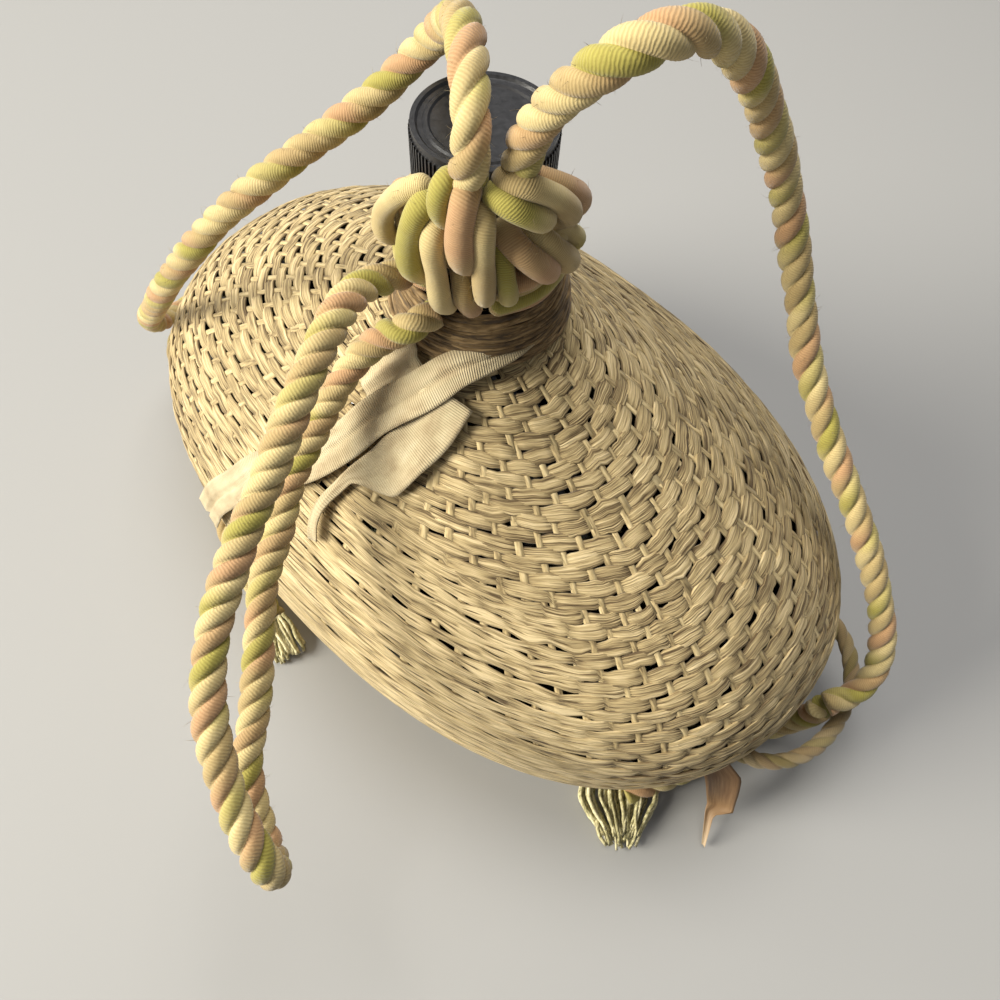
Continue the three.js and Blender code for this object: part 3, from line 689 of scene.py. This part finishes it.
HANGING_LOOP = [
    (-6.6, -25.4, 142.6), (-6.8, -31.5, 145), (-4.4, -39.8, 147.4), (-0.4, -49, 147), (2.9, -58, 143.3),
    (5.7, -66.4, 137.8), (8.4, -74.3, 132.6), (11, -82.6, 128), (14.3, -90.7, 123.4), (18.3, -98.8, 118.7),
    (23.5, -106, 113.8), (30, -112, 109.2), (37.3, -116.4, 104.6), (44.6, -119.8, 100),
    (50.8, -121.8, 95.4), (55, -122.8, 89.6), (55.4, -122.8, 83), (51.8, -122, 77.6),
    (45.4, -120.2, 76), (38.8, -117.2, 78.8), (32.7, -112.4, 82.8), (27.8, -105.8, 86.3),
    (21.7, -98.7, 90), (14.3, -91, 93.8), (7.1, -83, 97.3), (1.9, -73.4, 101), (-3.6, -64.2, 105.5),
    (-7.1, -54, 110), (-9.6, -44, 115), (-9.4, -35, 121), (-6, -29, 126.5), (-1.5, -25.6, 130.5),
]
LOOP_INTO_KNOT = [around_neck(19.5, -96, 141.5), *HANGING_LOOP, around_neck(19.5, -78, 132)]
RIGHT_TAIL = [
    right_end(7.7, 14, 32.85), right_end(7.7, 14, 27), right_end(6.8, 13.5, 18.5), right_end(3.5, 10, 9.5),
    right_end(-2.5, 2, 5), right_end(-6, -8, TAIL_Z), right_end(-9, -19.5, TAIL_Z),
    right_end(-14.5, -31, TAIL_Z), right_end(-18.5, -39.5, TAIL_Z),
]
LEFT_TAIL = [
    left_end(7.7, -14, 32.85), left_end(7.7, -14, 27), left_end(7.5, -15, 18), left_end(5.5, -19, 9.5),
    left_end(0, -27, 5), left_end(-10.5, -38.5, TAIL_Z), (-96, -49, TAIL_Z), (-80, -60.5, TAIL_Z),
    (-62, -69, TAIL_Z), (-42, -75, TAIL_Z), (-24, -78, TAIL_Z),
]


TASSEL_STEP = 1.4
TASSEL_CURL = 0.9
TASSEL_TWIST = 1.2
TASSEL_FLOOR = 0.75
TASSEL_YARN_RADIUS = (0.5, 0.8)


def tassel(name, root, stations, count):
    """Loose yarns that leave the rope's end and spread on the table, as (x, y, half width, height)."""
    shape = Shape()
    spine = np.array(stations, float)
    sides = 5
    ring = np.linspace(0, 2 * math.pi, sides, endpoint=False)
    for _ in range(count):
        place = chance.uniform(-1, 1)
        level = chance.uniform(0, 1)
        shorter = chance.uniform(0.8, 1.0)
        ahead = directions(np.c_[spine[:, :2], np.zeros(len(spine))])
        aside = np.c_[-ahead[:, 1], ahead[:, 0], np.zeros(len(spine))]
        curl = chance.normal(0, TASSEL_CURL, (len(spine), 3)) * np.linspace(0, 1, len(spine))[:, None]
        points = np.c_[spine[:, :2], 0.8 + level * spine[:, 3]]
        points = points + aside * (place * spine[:, 2])[:, None] + curl
        points[:, 2] = np.maximum(points[:, 2], TASSEL_FLOOR)
        line, along = smooth_line(points, TASSEL_STEP)
        line = line[:max(4, int(len(line) * shorter))]
        along = along[:len(line)]
        thick = chance.uniform(*TASSEL_YARN_RADIUS) * np.linspace(1, 0.8, len(line))[:, None]
        rings = rings_round(line, thick, ring[None, :] + along[:, None] * TASSEL_TWIST)
        tone = np.full(rings.shape[:2], chance.uniform(0.25, 0.85))
        shape.tube(rings, along + chance.uniform(0, 50), np.linspace(0, 1, sides + 1), tone)
    piece = shape.piece(name, TASSEL_YARN)
    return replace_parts(piece, root)


RIGHT_TASSEL = [
    (96.5, -37, 12, 5), (100, -41, 13, 4.6), (103.8, -45, 10, 4), (107.5, -48.5, 6.5, 3),
    (111, -52, 3.5, 1.4),
]
LEFT_TASSEL = [(-23, -78.3, 2.6, 5), (-19, -79.5, 4, 4.4), (-14, -81.5, 5.2, 3.4), (-8, -83.5, 5, 1.6)]
right_tassel = tassel("right_tassel_yarns", "tassel_right", RIGHT_TASSEL, 46)
left_tassel = tassel("left_tassel_yarns", "tassel_left", LEFT_TASSEL, 34)
free_rope("right_handle", RIGHT_HANDLE, "right_handle_rope", "right_handle", start_turn=0.4)
free_rope("left_handle", LEFT_HANDLE, "left_handle_rope", "left_handle", start_turn=1.9)
free_rope("hanging_loop", LOOP_INTO_KNOT, "hanging_loop_rope", "hanging_loop", start_turn=3.1,
          strand_lay=LOOP_LAY)
free_rope("right_tail", RIGHT_TAIL, "rope_tail_right", "bottle", start_turn=0.9)
free_rope("left_tail", LEFT_TAIL, "rope_tail_left", "bottle", start_turn=2.2)

# The knot: loose strands that bulge over each other, and turns round the neck behind them

KNOT_STRAND_SIDES = 16
KNOT_STRAND_STEP = 0.7
KNOT_SWELL = 0.05
KNOT_SWELLS_PER_MM = 0.4
NECK_STRAND_STEP = 0.8
NECK_STRAND_RADIUS = 2.0
NECK_STRAND_SPACING = 2.7
NECK_STRAND_BULGE = 1.3
NECK_WANDER = 0.35
NECK_WANDERS_PER_MM = 0.18
IN_CREAM, IN_OLIVE, IN_PEACH = 0, 1, 2


def knot_strand(shape, line, along, radius, dye):
    """One wound strand of the rope with round ends, dyed in one of its three colours."""
    ring = np.linspace(0, 2 * math.pi, KNOT_STRAND_SIDES, endpoint=False)
    from_end = np.clip(np.minimum(along, along[-1] - along) / radius, 0.05, 1)
    rounded = np.sqrt(1 - (1 - from_end) ** 2)
    swell = 1 + KNOT_SWELL * np.sin(along * KNOT_SWELLS_PER_MM + dye)
    rings = rings_round(line, (radius * rounded * swell)[:, None], ring)
    around = dye + np.linspace(0.01, 0.99, KNOT_STRAND_SIDES + 1)
    shape.tube(rings, along + chance.uniform(0, 90), around)


def knot_bundle(shape, strands):
    """Strands that bulge out of the knot, each as its radius, its colour and points round the neck."""
    for radius, dye, points in strands:
        line, along = smooth_line([around_neck(*point) for point in points], KNOT_STRAND_STEP)
        knot_strand(shape, line, along, radius, dye)
        add_whiskers(shape, line, along, radius, round(along[-1] * WHISKERS_PER_MM))


def neck_turns(shape, points):
    """Three strands side by side round the neck, the middle one standing out."""
    line, along = smooth_line(points, NECK_STRAND_STEP)
    ahead = directions(line)
    out = line - np.array([NECK_X, 0, 0])
    out[:, 2] = 0
    out = unit(out - ahead * (out * ahead).sum(1)[:, None])
    beside = np.cross(ahead, out)
    for dye in (IN_CREAM, IN_OLIVE, IN_PEACH):
        wander = NECK_WANDER * np.sin(along * NECK_WANDERS_PER_MM + 2.1 * dye)
        bulge = NECK_STRAND_BULGE if dye == IN_OLIVE else 0
        middle = line + beside * ((dye - 1) * NECK_STRAND_SPACING + wander)[:, None] + out * bulge
        knot_strand(shape, middle, along, NECK_STRAND_RADIUS, dye)


def finish_knot(shape, name, node):
    """A finished piece of the knot, in place of its plain turn."""
    piece = shape.piece(name, ROPE_YARN)
    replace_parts(piece, node)


LEFT_STRANDS = [
    (2.3, IN_CREAM, [(19, -78, 168), (22, -92, 165), (23.8, -106, 156), (23.5, -106, 151),
                     (18, -103, 149.2)]),
    (2.7, IN_OLIVE, [(19, -76, 166), (23.5, -79, 164), (25, -83, 156), (24.8, -82, 149.5),
                     (19.4, -76, 145)]),
    (2.4, IN_OLIVE, [(18.8, -63, 172), (23, -66, 172), (24, -67.3, 168), (21, -65, 162)]),
    (2.4, IN_CREAM, [(20.5, -69, 163), (25, -70, 159.5), (25.8, -67.6, 151.8), (25.5, -66, 144),
                     (21.5, -64, 139)]),
    (2.4, IN_PEACH, [(20.5, -59, 153), (23.6, -56, 145), (20.5, -50, 137.5)]),
    (2.6, IN_PEACH, [(18.6, -116, 160), (19.6, -90, 158), (19.6, -60, 157), (18.6, -36, 157)]),
    (2.6, IN_CREAM, [(18.6, -116, 154.5), (19.6, -90, 152.5), (19.6, -60, 151.5), (18.6, -36, 151)]),
]
MIDDLE_STRANDS = [
    (2.9, IN_PEACH, [(19.5, -54, 172), (24, -55, 171), (26.2, -56.2, 165), (26.2, -55.4, 158.6),
                     (21.5, -52, 152.5)]),
    (2.4, IN_CREAM, [(20.5, -47.5, 169), (25.3, -46.6, 165.5), (26.2, -46, 156), (25, -45, 147),
                     (20.5, -43.5, 142.5)]),
    (2.2, IN_OLIVE, [(20.5, -39, 160), (24.8, -36, 153.5), (24, -33, 145.5), (20, -30.5, 141.5)]),
    (2.6, IN_PEACH, [(18.6, -62, 146.5), (20.2, -44, 146), (20.6, -20, 145.5), (18.6, 4, 145)]),
]
RIGHT_STRANDS = [
    (2.7, IN_OLIVE, [(20, -46, 171), (25, -34, 170), (25.2, -21.5, 166.2), (20.5, -12, 162)]),
    (2.5, IN_CREAM, [(19.5, -42, 172.5), (23.5, -28.7, 173.5), (24.5, -14, 169.6), (24, -1.3, 162.3),
                     (19, 2, 156.5)]),
    (2.4, IN_PEACH, [(18.5, -26, 172), (22.5, -5.5, 169.1), (22.5, 14, 160), (18.5, 16, 153.5)]),
    (3.0, IN_PEACH, [(19.5, -40, 162), (25, -29, 158.5), (25.4, -16, 152), (20.5, -5, 145.5)]),
    (2.6, IN_CREAM, [(19.5, -28, 161.5), (24.5, -11.5, 156.5), (23.8, 3.5, 148), (19, 10, 142)]),
    (2.2, IN_OLIVE, [(19, -4, 157), (22, 20, 148.5), (19, 30, 141)]),
    (2.6, IN_CREAM, [(18.6, -44, 156), (20, -24, 155), (20, 0, 153), (18.6, 22, 151)]),
]
TURN_RADIUS = 17.4
UPPER_TURN = [
    around_neck(19.4, 2, 149.5), around_neck(18, 25, 146),
    *[around_neck(TURN_RADIUS, degrees, 144.25) for degrees in range(50, 283, 29)],
]
LOWER_TURN = [
    *[around_neck(TURN_RADIUS, degrees, 136.35) for degrees in range(-40, 217, 32)],
    around_neck(TURN_RADIUS, 240, 136.35), around_neck(16.4, 252, 136), around_neck(14.2, 266, 135.4),
]
left_knot, middle_knot, upper_knot, lower_knot = Shape(), Shape(), Shape(), Shape()
knot_bundle(left_knot, LEFT_STRANDS)
knot_bundle(middle_knot, MIDDLE_STRANDS)
knot_bundle(upper_knot, RIGHT_STRANDS)
neck_turns(upper_knot, UPPER_TURN)
neck_turns(lower_knot, LOWER_TURN)
finish_knot(left_knot, "left_knot_strands", "knot_turn_left")
finish_knot(middle_knot, "middle_knot_strands", "knot_turn_middle")
finish_knot(upper_knot, "upper_knot_strands", "neck_turn_upper")
finish_knot(lower_knot, "lower_knot_strands", "neck_turn_lower")

# Cord lugs

LUG_LINE = [
    (-12, -13.5), (-4, -12.5), (4, -9.5), (10, -3.5), (13.6, 5), (14.5, 16), (11.5, 29), (4, 39),
    (-5, 43.5), (-14, 43), (-25, 41.5),
]
for lug_name, lug_node, lug_points in (
    ("right_lug", "lug_right", [right_end(beyond, y, LUG_Z) for beyond, y in LUG_LINE]),
    ("left_lug", "lug_left", [left_end(beyond, -y, LUG_Z) for beyond, y in LUG_LINE]),
):
    lug, _ = laid_rope(lug_name, lug_points, LUG_YARN, "bottle", LUG_DIAMETER, LUG_LAY)
    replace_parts(lug, lug_node)


# The weave

def closeness(way, turn):
    """1 where the strands are beaten tight, low on the front, and 0 in the open weave."""
    degrees = np.degrees((turn + math.pi) % (2 * math.pi) - math.pi)
    return fade(way, *TIGHT_WAYS) * fade(degrees, *TIGHT_RIGHT) * fade(degrees, *TIGHT_LEFT)


def loose_wave(turn, reach):
    """A slow random wave round the body that closes on itself."""
    wave = np.zeros_like(turn)
    for count in (2, 3, 5, 8, 13):
        wave += np.sin(count * turn + chance.uniform(0, 2 * math.pi)) / math.sqrt(count)
    return reach * wave / 1.6


def stakes_at(way):
    """Number of stakes at a way up the skin."""
    for top, count in WEAVE_ZONES:
        if way < top:
            return count
    return WEAVE_ZONES[-1][1]


def row_way(row):
    """Way up the skin of a row: the rows are finer below the knee."""
    return np.interp(row / ROW_COUNT, [0, 0.5, 1], [LOWEST_ROW, ROW_KNEE, HIGHEST_ROW])


def by_stake(stake, stakes):
    """One random number for each stake, joined by straight lines."""
    each = chance.normal(0, 1, stakes)
    return np.interp(stake, np.arange(stakes + 1), np.append(each, each[0]))


def weft_row(shape, row):
    """One flat bundle of fibres that floats over one stake and ducks behind the next."""
    below, way, above = (row_way(row + step) for step in (0, 0.5, 1))
    pitch_way = above - below
    stakes = stakes_at(way)
    count = stakes * STEPS_PER_STAKE
    turn = np.linspace(0, 2 * math.pi, count, endpoint=False)
    stake = turn * stakes / (2 * math.pi)
    duck = np.exp(-(((stake + row) % 2 - 1) / DUCK_REACH) ** 2)
    _, _, skin_length = skin(np.full(count, way), turn, np.zeros(count))
    pitch = pitch_way * skin_length
    tight = closeness(way, turn)
    right_loose = RIGHT_LOOSE * fade(way, *RIGHT_LOOSE_WAYS)
    loose = np.cos(turn) ** 2 * np.where(np.cos(turn) < 0, 1, right_loose) * (1 - tight)
    grip = by_stake(stake, stakes)
    slit = np.cos(math.pi * (stake + row / 2))
    half = pitch * (FLOAT_HALF - LOOSE_LOSS * loose - DUCK_LOSS * duck + GRIP_HALF * grip)
    half = half + (pitch * (TIGHT_HALF + SLIT_SWELL * slit + TIGHT_GRIP_HALF * grip) - half) * tight
    lift = (FLOAT_LIFT - DUCK_DEPTH * duck) * (1 - TIGHT_FLAT * tight)
    lift = lift + TIGHT_LIFT * tight + GRIP_LIFT * grip * (1 - TIGHT_EVEN * tight)
    slope = FLOAT_SLOPE * ((stake + row - 1) / 2 % 1 - 0.5) * (1 - tight)
    wander = loose_wave(turn, ROW_WAVE) + ROW_STRAY * by_stake(stake, stakes)
    middle = way + (wander + slope) * pitch_way
    outer = np.linspace(1, -1, 2 * FIBRES_PER_STRAND + 1)
    ridge = np.where(np.arange(len(outer)) % 2 == 1, STRAND_RIDGE, 0)
    rise = STRAND_THICKNESS * (1 - outer ** 6) + ridge
    across = np.concatenate([outer, [-STRAND_BACK_HALF, STRAND_BACK_HALF]])
    rise = np.concatenate([rise, [STRAND_BACK, STRAND_BACK]])
    fray = np.stack([by_stake(stake * FRAYS_PER_STAKE, stakes * FRAYS_PER_STAKE) for _ in range(2)], axis=1)
    reach = (half / skin_length)[:, None] * (1 + EDGE_FRAY * fray * (1 - TIGHT_TRIM * tight)[:, None])
    ways = middle[:, None] + across[None, :] * np.where(across[None, :] > 0, reach[:, :1], reach[:, 1:])
    turns = np.broadcast_to(turn[:, None], ways.shape)
    lifts = lift[:, None] + rise[None, :]
    # Where a tight strand splits down the middle: the middle fibre dips, and painted shade darkens the
    # split
    split_and_shade = tight * fade(np.cos(math.pi * (stake + row / 2 + 0.5)), 0.2, 0.8)
    lifts[:, FIBRES_PER_STRAND] -= SPLIT_DEPTH * split_and_shade
    rings, _, _ = skin(ways, turns, lifts)
    fibre = np.minimum(np.arange(len(across)) // 2, FIBRES_PER_STRAND)
    shades = chance.normal(0, FIBRE_TONE_SPREAD, (stakes // 2, FIBRES_PER_STRAND + 1))
    span = (np.floor((stake + row - 1) / 2) % (stakes // 2)).astype(int)
    tone = STRAND_TONE + shades[span][:, fibre]
    # Painted light makes the tight weave low on the front paler
    # Painted shade darkens a strand where it ducks behind a stake
    tone = tone + (GRIP_TONE * grip + TIGHT_PAINTED_LIGHT * tight - DUCK_SHADE * duck)[:, None]
    tone[:, FIBRES_PER_STRAND] -= split_and_shade
    # Painted shade along the edges of each strand, less of it in the tight weave
    tone = tone - EDGE_SHADE * (across ** 4)[None, :] * (1 - TIGHT_PALE * tight)[:, None]
    length = lengths_along(rings[:, FIBRES_PER_STRAND - 1])
    length = np.append(length, length[-1] + 1)
    columns = np.linspace(0, FIBRES_PER_STRAND, len(outer))
    columns = np.concatenate([columns, FIBRES_PER_STRAND + np.arange(1, 4)])
    shape.tube(rings, length + chance.uniform(0, 400), columns, tone, endless=True)


def weave_bands():
    """Bands of woven rows, each in place of the courses that it covers."""
    rows_per_band = ROW_COUNT // BAND_COUNT
    courses = COURSE_COUNT // BAND_COUNT
    for band in range(BAND_COUNT):
        shape = Shape()
        for row in range(band * rows_per_band, (band + 1) * rows_per_band):
            weft_row(shape, row)
        piece = shape.piece(f"weave_band_{band + 1}", WEFT_STRAW)
        nodes = [f"weft_course_{band * courses + k + 1:02d}" for k in range(courses)]
        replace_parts(piece, *nodes)


def upright_stakes():
    """Flat upright stakes that show between the strands."""
    shape = Shape()
    start = 0.0
    for end, count in WEAVE_ZONES:
        rows = max(4, round((end - start) * ROW_COUNT / 2))
        low = max(start - ZONE_OVERLAP, SKIN_STEP)
        high = min(end + ZONE_OVERLAP, 1 - SKIN_STEP)
        ways = np.linspace(low, high, rows)
        for k in range(count):
            turn = 2 * math.pi * k / count
            turns = np.full(rows, turn)
            middle, normal, _ = skin(ways, turns, np.zeros(rows))
            beside = skin_middle(ways, turns + SKIN_STEP) - skin_middle(ways, turns - SKIN_STEP)
            spread = np.linalg.norm(beside, axis=1) / (2 * SKIN_STEP) * (2 * math.pi / count)
            beside = unit(beside - normal * (beside * normal).sum(1)[:, None])
            half = np.clip(STAKE_HALF * spread, *STAKE_HALF_LIMITS) * chance.uniform(*STAKE_SIZES)
            corners = [(1, 0.5), (0, 0.7), (-1, 0.5), (-1, -0.5), (1, -0.5)]
            ring = [middle + beside * (half * side)[:, None] + normal * (out * STAKE_THICKNESS)
                    for side, out in reversed(corners)]
            along = lengths_along(middle) + 9 * k
            tone = np.full((rows, len(corners)), chance.uniform(*STAKE_TONES))
            shape.tube(np.stack(ring, axis=1), along, np.linspace(0, 4, len(corners) + 1), tone)
        start = end
    piece = shape.piece("upright_stakes", STAKE_STRAW)
    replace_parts(piece, "stake_frame")


weave_bands()
upright_stakes()


# The collar

COLLAR_FIBRES = 40
COLLAR_RADIUS = 16.6
COLLAR_BULGE = 4.2
COLLAR_FLARE = 4
COLLAR_FOOT_Z = 119.4
COLLAR_HEIGHT = 12.2
COLLAR_FIBRE_RADIUS = (0.4, 0.75)


def collar():
    """Coarse fibres wound round the foot of the neck."""
    shape = Shape()
    sides = 6
    ring = np.linspace(0, 2 * math.pi, sides, endpoint=False)
    turn = np.linspace(0, 2 * math.pi, 120, endpoint=False)
    for k in range(COLLAR_FIBRES):
        share = k / (COLLAR_FIBRES - 1)
        bow = math.sin(math.pi * (0.12 + share * 0.8))
        flare = COLLAR_FLARE * (1 - share) ** 5
        radius = COLLAR_RADIUS + COLLAR_BULGE * bow + flare + loose_wave(turn, 0.35)
        level = COLLAR_FOOT_Z + COLLAR_HEIGHT * share + loose_wave(turn, 0.5)
        thick = chance.uniform(*COLLAR_FIBRE_RADIUS)
        flat = np.stack([np.cos(turn), np.sin(turn), 0 * turn], axis=1)
        line = flat * radius[:, None] + np.array([NECK_X, 0, 0])
        line[:, 2] = level
        out = np.cos(ring)[None, :, None] * flat[:, None, :]
        down = -np.sin(ring)[None, :, None] * np.array([0, 0, 1])
        rings = line[:, None, :] + thick * (out + down)
        tone = np.full(rings.shape[:2], chance.uniform(0.2, 0.8))
        along = np.linspace(0, 130, len(turn) + 1) + 17 * k
        shape.tube(rings, along, np.linspace(0, 2, sides + 1), tone, endless=True)
    piece = shape.piece("collar_fibres", COLLAR_FIBRE)
    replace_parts(piece, "neck_collar")


collar()


# The ribbon

RIBBON_STEP = 1.2
RIBBON_COLUMNS = 13
RIBBON_THICKNESS = 0.4
# Shares of the length between which a ribbon narrows, to its tip and to its root
TIP_SHARES = (0.5, 0.68)
ROOT_SHARES = (0.34, 0.04)


def ribbon(name, node, stations, width, ripple, root=0.0, tip=0.0, crease=0.0, pleat=0.0):
    """A thin strip laid on the weave: way up, degrees round and lift of its middle line."""
    spaced = np.array(stations, float)
    ways, turns, lifts = spaced[:, 0], np.radians(spaced[:, 1]), spaced[:, 2]
    middles = skin(ways, turns, lifts)[0]
    line, along = smooth_line(middles, RIBBON_STEP)
    share = along / along[-1]
    own = lengths_along(middles)
    own /= own[-1]
    normal = skin(np.interp(share, own, ways), np.interp(share, own, turns), 0 * share)[1]
    beside = unit(np.cross(directions(line), normal))
    columns = np.linspace(-1, 1, RIBBON_COLUMNS)
    span = width * (1 - tip * fade(share, *TIP_SHARES)) * (1 - root * fade(share, *ROOT_SHARES))
    wave = ripple * np.sin(along * 0.42)[:, None] * (0.4 + 0.6 * np.abs(columns)[None, :])
    wave = wave + ripple * 0.7 * np.sin(along[:, None] * 0.19 + columns[None, :] * 2.2)
    wave = wave - crease * (np.abs(columns) < 0.05) + pleat * np.sin(columns * 8.5 + along[:, None] * 0.05)
    offset = width / 2 - span[:, None] * (1 - columns) / 2
    sheet = line[:, None, :] + beside[:, None, :] * offset[..., None]
    sheet = sheet + normal[:, None, :] * wave[..., None]
    rings = thickened(sheet, normal, RIBBON_THICKNESS)
    shape = Shape()
    shape.tube(rings[:, ::-1], along, over_and_back(width, RIBBON_COLUMNS)[::-1])
    piece = shape.piece(name, RIBBON_CLOTH)
    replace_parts(piece, node)


LONG_RIBBON = [
    (1.0, 30, 2.6), (1.0, 18, 3.3), (1.0, 6, 3.6), (1.0, -8, 3.6), (1.0, -25, 3.8), (1.0, -43, 4.2),
    (0.978, -62, 4.5), (0.9, -80, 4.5), (0.804, -89.6, 4.5), (0.704, -92.8, 4.3), (0.63, -95.2, 3.8),
    (0.564, -98.2, 3.3), (0.508, -102, 3.3), (0.431, -104, 3.3), (0.36, -106.2, 3.3), (0.3, -108, 3.3),
]
SHORT_RIBBON = [
    (0.925, -67, 3.3), (0.84, -74.5, 3.3), (0.745, -81, 3.3), (0.64, -86, 3.3), (0.547, -88.5, 3.3),
    (0.5, -87.5, 3.3),
]
RIBBON_FOLD = [(0.97, -84, 3.3), (0.93, -91, 3.3), (0.88, -95.5, 3.3), (0.82, -98, 3.3)]
ribbon("ribbon_short", "ribbon_short_tail", SHORT_RIBBON, 13.5, 0.45, tip=0.76)
ribbon("ribbon_knot_fold", "ribbon_fold", RIBBON_FOLD, 12, 0.2, pleat=0.5)
ribbon("ribbon_long", "ribbon_long_tail", LONG_RIBBON, 10.5, 0.15,
       root=0.72, crease=0.8)


# The leaf tab

LEAF_LEFT = [(-9, -22.5, 31), (-4.3, -24.4, 24), (1.6, -24.5, 8), (2.4, -26, 6.6), (8.2, -33.4, 1.6)]
LEAF_RIGHT = [(-6, -16.5, 29), (3.6, -15.5, 21), (9.2, -21.2, 8), (5.4, -25.6, 6.6), (9.6, -33.6, 1.6)]
LEAF_PLACES = [0, 0.22, 0.62, 0.7, 1]
LEAF_THICKNESS = 0.5
LEAF_LENGTH = 24
LEAF_BREADTH = 9
LEAF_CURL = 0.35


def leaf_edge(corners, down):
    """Points of one edge of the leaf at shares of the way down it."""
    points = np.array([right_end(*corner) for corner in corners])
    return np.stack([np.interp(down, LEAF_PLACES, points[:, k]) for k in range(3)], axis=1)


def leaf_tab():
    """A dry leaf, broad and brown near the lug, with a thin pale tip that curls."""
    rows, columns = 30, 11
    down = np.linspace(0, 1, rows)
    share = np.linspace(0, 1, columns)
    left, right = leaf_edge(LEAF_LEFT, down), leaf_edge(LEAF_RIGHT, down)
    sheet = left[:, None, :] + (right - left)[:, None, :] * share[None, :, None]
    normal = unit(np.cross(sheet[:, -1] - sheet[:, 0], np.gradient(sheet[:, columns // 2], axis=0)))
    bulge = np.sin(math.pi * share)[None, :] * (1.4 - down)[:, None]
    bulge = bulge + LEAF_CURL * np.sin(down * 13)[:, None]
    sheet = sheet + normal[:, None, :] * bulge[..., None]
    rings = thickened(sheet, normal, LEAF_THICKNESS)
    tone = np.broadcast_to((down ** 3)[:, None], rings.shape[:2])
    shape = Shape()
    shape.tube(rings, down * LEAF_LENGTH, over_and_back(LEAF_BREADTH, columns), tone)
    piece = shape.piece("dry_leaf_tab", LEAF)
    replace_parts(piece, "leaf_tab")


leaf_tab()


# The cap

CAP_RADIUS = 15
CAP_FOOT_Z = 153
CAP_TOP_Z = 170
CAP_RIBS = 86
CAP_WALL = 2.1
CAP_BORE_DEPTH = 15
# Plain band above the ribs, and the ribs' gap and height
CAP_BAND = 1.6
RIB_GAP = 0.08
RIB_HEIGHT = 0.38
# Steps across the top from its rim: how far in, and how far up
CAP_TOP_STEPS = [(1.0, 0), (0.5, -0.5), (0.9, 0), (0.45, 0.35), (0.7, 0), (0.45, -0.35)]


def deselect_all():
    bpy.ops.object.select_all(action="DESELECT")


def pick_faces(piece, test):
    """Select the faces whose middle and normal pass the test, in edit mode."""
    bpy.ops.object.mode_set(mode="OBJECT")
    for face in piece.data.polygons:
        face.select = bool(test(face.center, face.normal))
    bpy.ops.object.mode_set(mode="EDIT")


def on_side(middle, normal):
    """Faces of the cap's outer wall."""
    return abs(normal.z) < 0.1 and math.hypot(middle.x - NECK_X * MM, middle.y) > (CAP_RADIUS - 1) * MM


def every_other(middle):
    """Every second face round the cap."""
    turn = math.atan2(middle.y, middle.x - NECK_X * MM) / (2 * math.pi) % 1
    return int(turn * 2 * CAP_RIBS) % 2 == 0


def screw_cap():
    """The ribbed shell of the cap, with two low steps on its top and an open bore below."""
    deselect_all()
    bpy.ops.mesh.primitive_cylinder_add(
        vertices=2 * CAP_RIBS, radius=CAP_RADIUS * MM, depth=(CAP_TOP_Z - CAP_FOOT_Z) * MM,
        location=(NECK_X * MM, 0, (CAP_FOOT_Z + CAP_TOP_Z) / 2 * MM))
    piece = bpy.context.object
    piece.name = "ribbed_cap"
    bpy.ops.object.transform_apply(location=True, rotation=True, scale=True)
    bpy.ops.object.mode_set(mode="EDIT")
    bpy.ops.mesh.select_mode(type="FACE")
    pick_faces(piece, lambda middle, normal: normal.z > 0.9)
    for inward, up in CAP_TOP_STEPS:
        bpy.ops.mesh.inset(thickness=inward * MM)
        bpy.ops.transform.translate(value=(0, 0, up * MM))
    pick_faces(piece, lambda middle, normal: normal.z < -0.9)
    bpy.ops.mesh.inset(thickness=CAP_WALL * MM)
    bpy.ops.mesh.extrude_region_move(TRANSFORM_OT_translate={"value": (0, 0, CAP_BORE_DEPTH * MM)})
    rib_top = (CAP_TOP_Z - CAP_BAND) * MM
    pick_faces(piece, on_side)
    bpy.ops.mesh.bisect(plane_co=(0, 0, rib_top), plane_no=(0, 0, 1))
    pick_faces(piece, lambda middle, normal: (
        on_side(middle, normal) and middle.z < rib_top and every_other(middle)))
    bpy.ops.mesh.inset(thickness=RIB_GAP * MM, use_individual=True)
    bpy.ops.mesh.extrude_region_shrink_fatten(TRANSFORM_OT_shrink_fatten={"value": RIB_HEIGHT * MM})
    bpy.ops.object.mode_set(mode="OBJECT")
    bpy.ops.object.shade_smooth_by_angle(angle=math.radians(35))
    piece.data.materials.append(CAP_PLASTIC)
    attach(piece, "cap")
    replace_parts(piece, "cap_shell")


screw_cap()

# Floor and light

deselect_all()
bpy.ops.mesh.primitive_plane_add(size=6)
floor = bpy.context.object
floor.name = "pale_floor"
floor_material, floor_tree, floor_shader = new_material("Pale floor", 0.7)
floor_shader.inputs["Base Color"].default_value = (0.33, 0.326, 0.316, 1)
floor.data.materials.append(floor_material)


def soft_lamp(name, place, aim, size, power, color):
    """A round area lamp that faces its aim."""
    data = bpy.data.lights.new(name, "AREA")
    data.shape = "DISK"
    data.size = size
    data.energy = power
    data.color = color
    lamp = bpy.data.objects.new(name, data)
    bpy.context.scene.collection.objects.link(lamp)
    lamp.location = place
    lamp.rotation_mode = "QUATERNION"
    lamp.rotation_quaternion = (Vector(aim) - Vector(place)).to_track_quat("-Z", "Y")


soft_lamp("key", (-1.32, -1.92, 1.2), (0, 0, 0.07), 1.4, 140, (1, 0.96, 0.86))
soft_lamp("top", (-0.25, 0.2, 1.2), (0, 0, 0.08), 0.8, 13, (1, 0.98, 0.95))
soft_lamp("fill", (0.9, -0.3, 0.8), (0, 0, 0.07), 0.8, 0.2, (0.96, 0.98, 1))
world = bpy.data.worlds.new("Studio")
world.use_nodes = True
world.node_tree.nodes["Background"].inputs["Color"].default_value = (0.9, 0.93, 1, 1)
world.node_tree.nodes["Background"].inputs["Strength"].default_value = 0.2
bpy.context.scene.world = world
bpy.context.scene.view_settings.view_transform = "Standard"
